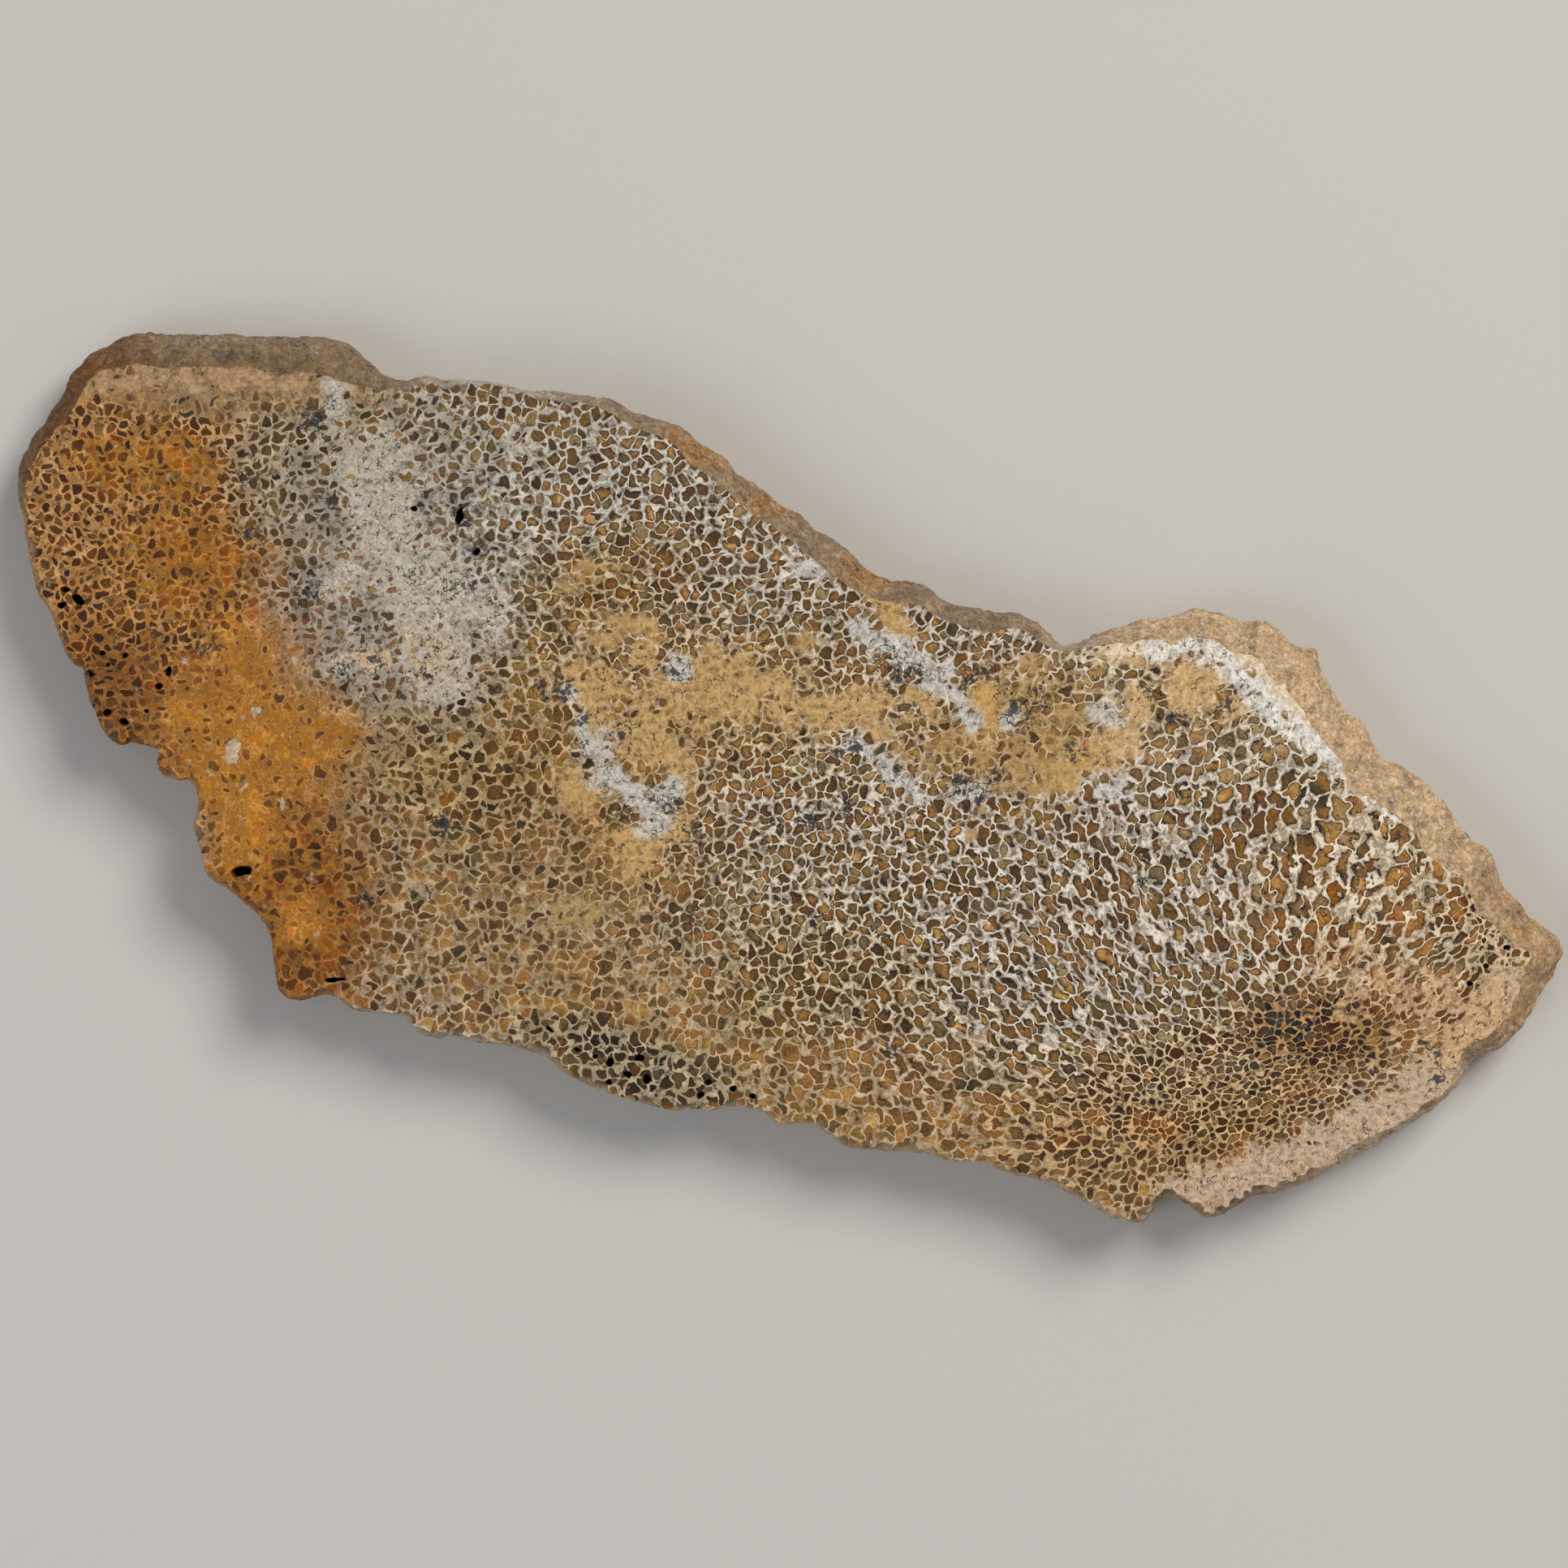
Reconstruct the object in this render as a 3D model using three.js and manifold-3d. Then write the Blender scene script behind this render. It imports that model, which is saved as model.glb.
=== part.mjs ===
// A sawn slab of agatized dinosaur bone, lying on its lower sawn face.
// It is one natural piece: spongy bone turned to agate, with what is left of the bone's smooth
// natural skin along the north and east sides, and bare broken sponge along the south and west.
// Millimetres, +Z up. The origin is the middle of the bounding box, on the plane it lies on.
import * as THREE from 'three';
import { mergeVertices } from 'three/addons/utils/BufferGeometryUtils.js';
import Module from 'manifold-3d';

const wasm = await Module();
wasm.setup();

// ---- Driving dimensions ----
const THICKNESS = 8; // between the two sawn faces
const WAIST_DEPTH = 4.8; // from the upper face down to the widest line
const STATION_STEP = 1.08; // spacing of the wall's stations around the slab
const WALL_LEVELS = 8; // bands of the wall between the two faces
const BARE_SKIN = 0.4; // skin this narrow is a bare broken edge
const FULL_SKIN = 1.1; // from this width on the edge is natural bone surface

// ---- Outline ----
// Each row is [x, y, skin]. x and y follow the slab's widest line, clockwise seen from above.
// Skin is the plan width of the slope from there up to the rim of the upper sawn face.
const NORTH_EDGE = [
  [-38.2, 37.4, 1.7], [-37.4, 36.7, 1.1], [-36.1, 36.6, 0.8], [-33.6, 37.2, 0.8],
  [-32.6, 36.7, 0.7], [-30.9, 36.8, 0.6], [-26.8, 36.5, 0.6], [-24.9, 35.9, 0.7],
  [-22.3, 35.7, 0.7], [-19.3, 35.3, 0.8], [-16.6, 34.9, 1.1], [-13.6, 33.3, 1.2],
  [-10.2, 32.5, 1.7], [-9.3, 31.4, 1.8], [-7.8, 30.2, 2.0], [-6.8, 29.8, 2.1],
  [-3.4, 27.0, 2.3], [-1.5, 25.5, 2.3], [0.7, 24.2, 2.3], [3.0, 22.4, 2.4],
  [4.5, 21.6, 2.6], [5.5, 20.6, 2.6], [7.9, 18.7, 2.3], [10.2, 18.0, 2.0],
  [12.4, 17.7, 1.8], [14.3, 16.5, 1.8], [18.9, 15.0, 1.8], [20.5, 15.3, 1.7],
  [21.6, 15.0, 1.5], [24.3, 12.8, 0.9],
];
const NORTH_NOTCH = [
  [24.7, 12.0, 0.5], [26.0, 12.0, 0.6], [27.3, 12.8, 0.9],
];
const SHOULDER = [
  [28.3, 13.4, 1.2], [31.5, 14.1, 2.0], [32.2, 14.7, 2.1], [35.1, 15.0, 2.6],
  [37.5, 15.7, 2.9], [40.6, 15.0, 2.9], [41.7, 14.2, 3.0], [44.3, 14.4, 3.5],
  [47.5, 12.0, 4.1], [49.1, 11.8, 4.5], [48.9, 10.5, 3.9], [50.2, 8.1, 3.5],
  [51.6, 5.7, 3.5], [53.4, 4.6, 3.9], [54.6, 1.4, 3.8], [56.4, 1.1, 4.1],
  [57.6, 0.2, 4.1], [60.2, -2.0, 4.1], [61.7, -4.5, 3.8], [63.2, -6.1, 3.8],
  [65.2, -7.0, 3.9], [66.2, -10.0, 3.6], [68.5, -12.3, 3.5], [69.8, -14.0, 3.3],
  [71.0, -14.9, 3.3],
];
const BROKEN_TIP = [
  [72.0, -15.9, 3.5], [71.7, -17.3, 3.3], [69.8, -20.3, 2.6], [68.3, -23.0, 2.1],
];
const SOUTH_EAST_EDGE = [
  [67.0, -24.5, 2.1], [65.8, -25.5, 2.0], [64.0, -26.0, 1.7], [62.7, -27.0, 1.2],
  [61.6, -28.9, 0.8], [60.3, -30.2, 0.7], [57.0, -32.5, 0.9], [54.6, -34.1, 1.2],
  [52.3, -35.4, 1.5], [48.8, -37.4, 1.1], [44.9, -38.7, 0.8], [42.8, -38.8, 0.7],
  [40.7, -40.1, 0.5], [38.7, -40.8, 0.5], [35.9, -38.8, 0.5],
];
const SOUTH_EDGE = [
  [34.7, -38.8, 0.6], [33.8, -39.3, 0.8], [32.9, -41.0, 0.4], [31.9, -41.2, 0.4],
  [28.9, -40.3, 0.4], [27.5, -39.2, 0.3], [25.3, -38.1, 0.3], [23.1, -37.3, 0.3],
  [19.5, -36.3, 0.3], [17.9, -35.6, 0.3], [15.4, -35.6, 0.3], [13.1, -34.9, 0.4],
  [10.9, -34.6, 0.5], [8.2, -34.6, 0.5], [5.2, -34.2, 0.5], [2.6, -32.3, 0.3],
  [-0.1, -31.8, 0.2], [-0.9, -32.2, 0.2], [-1.7, -31.7, 0.2], [-2.2, -30.9, 0.2],
  [-6.1, -30.4, 0.2], [-7.5, -30.8, 0.2], [-9.2, -30.7, 0.2], [-10.5, -30.9, 0.2],
  [-14.4, -29.9, 0.2], [-18.5, -28.6, 0.2], [-21.8, -26.8, 0.5], [-22.5, -25.9, 0.4],
  [-24.0, -25.2, 0.3], [-29.0, -24.4, 0.3], [-31.7, -23.8, 0.2], [-32.5, -24.1, 0.2],
  [-34.8, -23.2, 0.2], [-35.8, -22.0, 0.2], [-40.3, -21.5, 0.3], [-42.3, -20.2, 0.3],
];
const WEST_BREAK = [
  [-44.0, -20.2, 0.3], [-46.0, -20.5, 0.3], [-47.1, -20.1, 0.3], [-47.6, -18.7, 0.3],
  [-48.3, -14.1, 0.3], [-50.5, -11.7, 0.3], [-52.8, -9.6, 0.3], [-53.9, -9.3, 0.3],
  [-54.9, -5.9, 0.3], [-55.3, -4.8, 0.3], [-54.9, -3.6, 0.3], [-54.8, -1.4, 0.3],
  [-55.9, 0.3, 0.2], [-56.3, -0.3, 0.2], [-57.3, 0.0, 0.2], [-58.7, 0.6, 0.2],
  [-58.4, 2.9, 0.2], [-59.8, 3.0, 0.2], [-60.6, 3.5, 0.2], [-61.6, 3.4, 0.2],
  [-62.3, 2.9, 0.2], [-64.0, 4.9, 0.4], [-65.4, 8.7, 0.4], [-65.8, 10.8, 0.4],
  [-66.5, 10.5, 0.3], [-67.2, 11.6, 0.4], [-68.6, 15.6, 0.5],
];
const WEST_LOBE = [
  [-69.6, 16.7, 0.6], [-70.3, 18.8, 0.7], [-71.4, 23.5, 0.9], [-71.9, 26.0, 1.1],
  [-71.4, 30.0, 1.4], [-69.2, 33.2, 1.7], [-68.0, 35.0, 1.8], [-66.2, 38.2, 2.1],
  [-63.1, 40.5, 2.7], [-61.0, 41.1, 3.0], [-58.6, 41.0, 3.2], [-55.6, 41.2, 3.3],
  [-52.5, 41.4, 3.5], [-49.5, 41.3, 3.6], [-46.5, 40.9, 3.8], [-44.7, 41.3, 3.9],
  [-41.4, 40.3, 3.6], [-38.9, 38.2, 2.4],
];

// ---- Open cells ----
// Marrow spaces that never filled with agate, open at the upper face.
// Each row is [x, y, long width, short width, turn in degrees, depth].
const WEST_OPEN_CELLS = [
  [-66.0, 16.4, 1.8, 1.0, -35, 3.2], [-67.5, 15.9, 1.1, 0.8, 20, 2.2],
  [-67.1, 17.3, 1.0, 0.5, 0, 1.4], [-64.6, 9.5, 1.3, 0.7, 0, 2.0],
  [-57.6, 9.8, 1.1, 0.7, 70, 2.0], [-58.5, 8.3, 0.8, 0.6, 0, 1.6],
  [-63.3, 5.9, 1.0, 0.7, 20, 1.8], [-64.3, 6.8, 1.0, 0.6, 80, 1.6],
  [-61.8, 5.1, 1.2, 0.8, -20, 2.0], [-61.7, 11.2, 0.9, 0.6, 30, 1.4],
  [-63.7, 11.4, 0.7, 0.6, 0, 1.2], [-63.2, 10.4, 0.7, 0.5, 50, 1.2],
  [-59.7, 6.1, 0.7, 0.6, 0, 1.2],
];
const MIDDLE_OPEN_CELLS = [
  [-30.7, 24.2, 2.2, 0.9, 80, 3.0], [-29.1, 20.8, 1.0, 0.8, 40, 1.8],
  [-35.0, 24.8, 0.8, 0.7, 0, 1.6],
];
const SOUTH_WEST_OPEN_CELLS = [
  [-50.9, -8.8, 2.2, 1.2, 10, 2.6], [-42.2, -18.8, 2.6, 0.6, 5, 2.0],
];
const SOUTH_OPEN_CELLS = [
  [-16.8, -26.4, 1.1, 0.8, 60, 2.4], [-18.1, -25.9, 0.8, 0.6, 20, 1.8],
  [-14.1, -26.1, 1.3, 0.8, 10, 2.4], [-15.1, -27.6, 1.1, 0.7, -30, 2.0],
  [-13.4, -28.0, 1.2, 0.9, 80, 2.2], [-16.9, -28.3, 0.8, 0.6, 0, 1.8],
  [-19.7, -25.2, 0.8, 0.5, -20, 1.4], [-22.3, -23.4, 1.2, 0.6, -40, 1.6],
  [-8.4, -29.5, 0.9, 0.7, 60, 1.8], [-7.6, -28.3, 0.9, 0.6, 20, 1.6],
  [-3.6, -29.6, 1.0, 0.8, 0, 1.8], [-5.4, -28.9, 0.9, 0.7, 30, 1.6],
];
const EAST_OPEN_CELLS = [
  [64.4, -17.5, 0.8, 0.6, 0, 1.2], [66.2, -15.8, 0.8, 0.5, 40, 1.2],
  [62.8, -19.2, 0.7, 0.6, 0, 1.2],
];

// ---- Noise for lumps, crumbled ledges and broken cells ----
const HASH_STRIDE = [127.1, 311.7, 74.7];
const HASH_GAIN = 43758.5453;

/** A repeatable number from 0 to 1 for one corner of the noise lattice. */
function cornerValue(i, j, k) {
  const wave = Math.sin(i * HASH_STRIDE[0] + j * HASH_STRIDE[1] + k * HASH_STRIDE[2]) * HASH_GAIN;
  return wave - Math.floor(wave);
}

/** Smooth noise from 0 to 1, with lumps about one pitch across. */
function lumps(x, y, z, pitch) {
  const place = [x / pitch, y / pitch, z / pitch];
  const cell = place.map(Math.floor);
  const share = place.map((value, axis) => THREE.MathUtils.smoothstep(value - cell[axis], 0, 1));
  let total = 0;
  for (let corner = 0; corner < 8; corner += 1) {
    const step = [corner & 1, (corner >> 1) & 1, (corner >> 2) & 1];
    const weight = step.reduce(
      (product, side, axis) => product * (side ? share[axis] : 1 - share[axis]),
      1,
    );
    total += weight * cornerValue(cell[0] + step[0], cell[1] + step[1], cell[2] + step[2]);
  }
  return total;
}

// ---- Wall ----
const BARE_TUCK = 0.5; // how far the bare edge draws in under the widest line
const SKIN_TUCK = 1.3; // the same where the natural surface curls under
const BARE_LUMP = { pitch: 2.4, depth: 0.75 }; // broken cells
const SKIN_LUMP = { pitch: 4.2, depth: 0.6 }; // swells of the natural surface
const LUMP_LEVEL = 0.22; // lumps lower than this stand out past the outline
const BREAK_CALM = 0.3; // the break across the tip is this much smoother
const RIM_FADE = 2.2; // relief grows to full size this far from either sawn face
const LEDGE_COUNT = 2.3; // crumbled ledges down a wide skin
const LEDGE_WANDER = 1.6; // how far the ledges rise and fall along the edge
const LEDGE_PITCH = 11;
const LEDGE_DEPTH = 0.13; // share of the skin that a ledge steps in or out
const LEDGE_SKIN = 2.2; // ledges are full size from this skin width on
const CURVE_STEPS_PER_ROW = 12;
const NORMAL_REACH = 1.4; // reach along the edge when its direction is read
const NORMAL_REACH_PER_SKIN = 1.3;

/** Stations all round the slab: place on the widest line, skin width, outward direction. */
function layStations() {
  const northAndShoulder = [...NORTH_EDGE, ...NORTH_NOTCH, ...SHOULDER];
  const southAndWest = [...SOUTH_EAST_EDGE, ...SOUTH_EDGE, ...WEST_BREAK, ...WEST_LOBE];
  const rows = [...northAndShoulder, ...BROKEN_TIP, ...southAndWest];
  const tipStart = northAndShoulder.length;
  const tipEnd = tipStart + BROKEN_TIP.length - 1;
  const line = rows.map((row) => new THREE.Vector3(...row));
  const curve = new THREE.CatmullRomCurve3(line, true, 'centripetal');
  curve.arcLengthDivisions = rows.length * CURVE_STEPS_PER_ROW;
  const count = Math.round(curve.getLength() / STATION_STEP);
  const points = curve.getSpacedPoints(count).slice(0, count);
  return points.map((point, index) => {
    const skin = Math.max(point.z, BARE_SKIN / 2);
    const reach = Math.round((NORMAL_REACH + NORMAL_REACH_PER_SKIN * skin) / STATION_STEP);
    const ahead = points[(index + reach) % count];
    const behind = points[(index - reach + count) % count];
    const outward = new THREE.Vector2(behind.y - ahead.y, ahead.x - behind.x).normalize();
    const row = curve.getUtoTmapping(index / count) * rows.length;
    return { x: point.x, y: point.y, skin, outward, broken: row > tipStart && row < tipEnd };
  });
}

/** How far the wall stands in from the widest line, at one station and depth. */
function wallInset(station, depth) {
  const { x, y, skin, broken } = station;
  const cover = THREE.MathUtils.smoothstep(skin, BARE_SKIN, FULL_SKIN);
  const tuck = THREE.MathUtils.lerp(BARE_TUCK, SKIN_TUCK, cover);
  if (depth >= WAIST_DEPTH) {
    const under = (depth - WAIST_DEPTH) / (THICKNESS - WAIST_DEPTH);
    return tuck * under * under;
  }
  const down = depth / WAIST_DEPTH;
  if (broken) {
    return skin * (1 - down);
  }
  const wander = LEDGE_WANDER * lumps(x, y, 0, LEDGE_PITCH);
  const ledge = Math.sin(2 * Math.PI * (LEDGE_COUNT * down + wander)) * down * (1 - down) * 4;
  const ledgeShare = LEDGE_DEPTH * Math.min(skin / LEDGE_SKIN, 1) * cover;
  return skin * (1 - Math.sin((down * Math.PI) / 2) + ledgeShare * ledge);
}

/** Extra inset from swells and broken cells, none at the rims. */
function wallRelief(station, depth) {
  const { x, y, skin, broken } = station;
  const cover = THREE.MathUtils.smoothstep(skin, BARE_SKIN, FULL_SKIN);
  const bare = BARE_LUMP.depth * (lumps(x, y, depth, BARE_LUMP.pitch) ** 2 - LUMP_LEVEL);
  const swell = SKIN_LUMP.depth * (lumps(x, y, depth, SKIN_LUMP.pitch) ** 2 - LUMP_LEVEL);
  const calm = broken ? BREAK_CALM : 1;
  const rimFade = Math.min(1, depth / RIM_FADE, (THICKNESS - depth) / RIM_FADE);
  return calm * rimFade * THREE.MathUtils.lerp(bare, swell, cover);
}

/** One closed ring of points at a depth below the upper face. */
function wallRing(stations, depth) {
  return stations.map((station) => {
    const inset = wallInset(station, depth) + wallRelief(station, depth);
    return new THREE.Vector3(
      station.x - station.outward.x * inset,
      station.y - station.outward.y * inset,
      THICKNESS - depth,
    );
  });
}

/** Closed geometry of the slab before its open cells are cut. */
function slabGeometry() {
  const stations = layStations();
  const count = stations.length;
  const rings = [];
  for (let level = 0; level <= WALL_LEVELS; level += 1) {
    rings.push(wallRing(stations, (level * THICKNESS) / WALL_LEVELS));
  }
  const indices = [];
  for (let level = 0; level < WALL_LEVELS; level += 1) {
    for (let index = 0; index < count; index += 1) {
      const upper = level * count + index;
      const upperNext = level * count + ((index + 1) % count);
      indices.push(upper, upperNext, upper + count);
      indices.push(upperNext, upperNext + count, upper + count);
    }
  }
  const flatRing = (ring) => ring.map((point) => new THREE.Vector2(point.x, point.y));
  const lastRing = WALL_LEVELS * count;
  for (const [a, b, c] of THREE.ShapeUtils.triangulateShape(flatRing(rings[0]), [])) {
    indices.push(a, b, c);
  }
  for (const [a, b, c] of THREE.ShapeUtils.triangulateShape(flatRing(rings[WALL_LEVELS]), [])) {
    indices.push(lastRing + c, lastRing + b, lastRing + a);
  }
  const geometry = new THREE.BufferGeometry().setFromPoints(rings.flat());
  geometry.setIndex(indices);
  return geometry;
}

// ---- Cutting the open cells ----
const CELL_SIDES = 7;
const CELL_FLOOR_SHARE = 0.55; // a cell narrows to this share of its width at its floor
const CUT_CLEARANCE = 0.5; // a cutter stands this far above the upper face

/** A tapered plug the shape of one open cell. */
function cellCutter([x, y, long, short, turn, depth]) {
  const widen = 1 + ((1 - CELL_FLOOR_SHARE) * CUT_CLEARANCE) / depth;
  const height = depth + CUT_CLEARANCE;
  const plug = new THREE.CylinderGeometry(widen / 2, CELL_FLOOR_SHARE / 2, height, CELL_SIDES);
  plug.rotateX(Math.PI / 2);
  plug.scale(long, short, 1);
  plug.rotateZ(THREE.MathUtils.degToRad(turn));
  plug.translate(x, y, THICKNESS + CUT_CLEARANCE - height / 2);
  return plug;
}

/** A manifold-3d solid from closed three.js geometry. */
function toSolid(geometry) {
  const bare = geometry.clone();
  bare.deleteAttribute('normal');
  bare.deleteAttribute('uv');
  const merged = mergeVertices(bare);
  return new wasm.Manifold(new wasm.Mesh({
    numProp: 3,
    vertProperties: merged.attributes.position.array,
    triVerts: Uint32Array.from(merged.index.array),
  }));
}

/** three.js geometry from a manifold-3d solid. */
function toGeometry(solid) {
  const { vertProperties, triVerts } = solid.getMesh();
  const geometry = new THREE.BufferGeometry();
  geometry.setAttribute('position', new THREE.BufferAttribute(vertProperties, 3));
  geometry.setIndex(new THREE.BufferAttribute(triVerts, 1));
  geometry.computeVertexNormals();
  return geometry;
}

/** The whole slab, its origin moved to the middle of its footprint. */
function boneSlab() {
  const openCells = [
    ...WEST_OPEN_CELLS, ...MIDDLE_OPEN_CELLS, ...SOUTH_WEST_OPEN_CELLS,
    ...SOUTH_OPEN_CELLS, ...EAST_OPEN_CELLS,
  ];
  let solid = toSolid(slabGeometry());
  for (const cell of openCells) {
    solid = solid.subtract(toSolid(cellCutter(cell)));
  }
  const geometry = toGeometry(solid);
  geometry.computeBoundingBox();
  const middle = geometry.boundingBox.getCenter(new THREE.Vector3());
  geometry.translate(-middle.x, -middle.y, 0);
  return geometry;
}

// Pale cell walls and brown agate, together a warm buff, cut and lightly polished.
const agatizedBone = new THREE.MeshStandardMaterial({
  color: 0x917759,
  roughness: 0.45,
  metalness: 0,
});

const slab = new THREE.Mesh(boneSlab(), agatizedBone);
slab.name = 'bone_slab';

const part = new THREE.Group();
part.add(slab);

export default part;
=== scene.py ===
"""A sawn slab of agatized dinosaur bone, lying on a pale studio floor and seen from above."""

import math

import bpy
import numpy as np
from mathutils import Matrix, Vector, geometry, kdtree, noise


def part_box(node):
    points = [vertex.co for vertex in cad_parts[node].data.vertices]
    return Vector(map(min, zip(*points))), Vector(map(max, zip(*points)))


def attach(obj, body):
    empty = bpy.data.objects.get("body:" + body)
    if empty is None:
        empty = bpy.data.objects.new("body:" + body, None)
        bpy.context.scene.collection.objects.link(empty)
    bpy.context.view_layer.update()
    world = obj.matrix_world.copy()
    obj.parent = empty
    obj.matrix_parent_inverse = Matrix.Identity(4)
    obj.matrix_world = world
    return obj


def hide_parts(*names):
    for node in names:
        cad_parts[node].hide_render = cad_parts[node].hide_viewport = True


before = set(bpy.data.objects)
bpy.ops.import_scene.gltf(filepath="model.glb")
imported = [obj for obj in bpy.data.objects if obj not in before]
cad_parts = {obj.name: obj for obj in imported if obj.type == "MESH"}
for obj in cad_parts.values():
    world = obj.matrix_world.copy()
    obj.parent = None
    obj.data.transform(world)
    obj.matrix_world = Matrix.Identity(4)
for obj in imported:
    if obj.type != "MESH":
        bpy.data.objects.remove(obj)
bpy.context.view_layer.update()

# ---- The view ----
# A long lens straight above the slab, so that its sawn face keeps its true outline.

MM = 0.001
SLAB_LOW, SLAB_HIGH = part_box("bone_slab")
LENS_MM = 200.0
SENSOR_MM = 36.0
FRAME_WIDTH = 145.1 * MM  # at the height of the upper sawn face
AIM_X = -0.8 * MM
AIM_Y = -0.68 * MM

camera_data = bpy.data.cameras.new("camera")
camera_data.lens = LENS_MM
camera_data.sensor_width = SENSOR_MM
camera = bpy.data.objects.new("camera", camera_data)
camera.location = (AIM_X, AIM_Y, SLAB_HIGH.z + FRAME_WIDTH * LENS_MM / SENSOR_MM)
bpy.context.scene.collection.objects.link(camera)
bpy.context.scene.camera = camera
bpy.context.scene.view_settings.view_transform = "Standard"

# ---- The studio ----
# A pale matt floor, one broad soft light from the upper right and a weaker one opposite.


def linear(hex_colour):
    """Linear RGBA of an sRGB hex colour."""
    channels = [int(hex_colour[i : i + 2], 16) / 255 for i in (1, 3, 5)]
    return [c / 12.92 if c <= 0.04045 else ((c + 0.055) / 1.055) ** 2.4 for c in channels] + [1.0]


def new_material(name, roughness=0.5):
    """A node material with its shader, and that shader's node."""
    material = bpy.data.materials.new(name)
    material.use_nodes = True
    shader = material.node_tree.nodes["Principled BSDF"]
    shader.inputs["Roughness"].default_value = roughness
    return material, shader


FLOOR_SIZE = 6.0  # m
FLOOR_COLOUR = "#d9d7d3"
FLOOR_ROUGHNESS = 0.9

floor_mesh = bpy.data.meshes.new("floor")
floor_half = FLOOR_SIZE / 2
floor_corners = [(x * floor_half, y * floor_half, 0) for x, y in ((-1, -1), (1, -1), (1, 1), (-1, 1))]
floor_mesh.from_pydata(floor_corners, [], [(0, 1, 2, 3)])
floor = bpy.data.objects.new("floor", floor_mesh)
bpy.context.scene.collection.objects.link(floor)
floor_material, floor_shader = new_material("matt_paper_floor", FLOOR_ROUGHNESS)
floor_shader.inputs["Base Color"].default_value = linear(FLOOR_COLOUR)
floor_mesh.materials.append(floor_material)

WORLD_COLOUR = "#e9e9ea"
WORLD_STRENGTH = 0.28

world = bpy.data.worlds.new("studio")
world.use_nodes = True
world.node_tree.nodes["Background"].inputs["Color"].default_value = linear(WORLD_COLOUR)
world.node_tree.nodes["Background"].inputs["Strength"].default_value = WORLD_STRENGTH
bpy.context.scene.world = world


def soft_light(name, place, size, watts, colour):
    """A square soft box that faces the slab."""
    data = bpy.data.lights.new(name, "AREA")
    data.size = size
    data.energy = watts
    data.color = linear(colour)[:3]
    lamp = bpy.data.objects.new(name, data)
    lamp.location = place
    lamp.rotation_euler = (-Vector(place)).to_track_quat("-Z", "Y").to_euler()
    bpy.context.scene.collection.objects.link(lamp)


# Places and sizes are in m.
KEY = {"place": (0.7, 0.75, 1.1), "size": 0.7, "watts": 14.0, "colour": "#fffaf2"}
FILL = {"place": (-1.0, -0.6, 1.0), "size": 0.9, "watts": 6.0, "colour": "#f4f8ff"}
soft_light("key_softbox", **KEY)
soft_light("fill_softbox", **FILL)

# ---- The slab: its form ----
# One piece of bone turned to agate, sawn flat above and below. What is left of the bone's
# natural surface slopes out along the north and east; the rest of the edge is broken sponge.

THICKNESS = (SLAB_HIGH.z - SLAB_LOW.z) / MM
ON_FACE = 0.01  # mm, how far a point may lie from a sawn face and still be on it
WALL_SPLIT = 4  # each facet edge of the wall is split in this many
SMOOTH_PASSES = 6
SMOOTH_STEP = 0.5


def merged(points, triangles):
    """The same triangles with points at one place made one."""
    _, first, shared = np.unique(
        np.round(points, 4), axis=0, return_index=True, return_inverse=True
    )
    return points[first], shared.reshape(-1)[triangles]


def split_triangles(points, triangles, count):
    """Each triangle divided into count x count smaller ones."""
    steps = [(i, j) for i in range(count + 1) for j in range(count + 1 - i)]
    index = {step: k for k, step in enumerate(steps)}
    pattern = []
    for i, j in steps:
        if i + j < count:
            pattern.append((index[i, j], index[i + 1, j], index[i, j + 1]))
        if i + j < count - 1:
            pattern.append((index[i + 1, j], index[i + 1, j + 1], index[i, j + 1]))
    shares = np.array([(count - i - j, i, j) for i, j in steps]) / count
    fine = np.einsum("sc,tcd->tsd", shares, points[triangles]).reshape(-1, 3)
    offsets = np.arange(len(triangles))[:, None, None] * len(steps)
    return merged(fine, (np.array(pattern)[None] + offsets).reshape(-1, 3))


def edges_of(triangles):
    """Every directed edge of the triangles."""
    return np.concatenate([triangles[:, [0, 1]], triangles[:, [1, 2]], triangles[:, [2, 0]]])


def open_edges(triangles):
    """The directed edges that only one triangle has."""
    edges = edges_of(triangles)
    _, shared, counts = np.unique(
        np.sort(edges, axis=1), axis=0, return_inverse=True, return_counts=True
    )
    return edges[counts[shared.reshape(-1)] == 1]


def neighbour_mean(values, edges):
    """The mean of each point's neighbours along the given edges."""
    total = np.zeros_like(values)
    count = np.zeros((len(values), 1))
    for here, there in (edges.T, edges.T[::-1]):
        np.add.at(total, here, values[there])
        np.add.at(count, here, 1)
    return total / np.maximum(count, 1)


def point_normals(points, triangles):
    """Unit normals at the points, from the triangles round them."""
    a, b, c = (points[triangles[:, k]] for k in range(3))
    face = np.cross(b - a, c - a)
    normals = np.zeros_like(points)
    for k in range(3):
        np.add.at(normals, triangles[:, k], face)
    return normals / np.maximum(np.linalg.norm(normals, axis=1), 1e-12)[:, None]


def rim_loops(edges, points, height):
    """Closed loops of point numbers at one height, from the wall's open edges."""
    level = edges[np.abs(points[edges][:, :, 2] - height).max(axis=1) < ON_FACE]
    following = dict(level.tolist())
    loops = []
    while following:
        start, here = following.popitem()
        loop = [start]
        while here != start:
            loop.append(here)
            here = following.pop(here)
        loops.append(loop)
    return sorted(loops, key=len, reverse=True)


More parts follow.
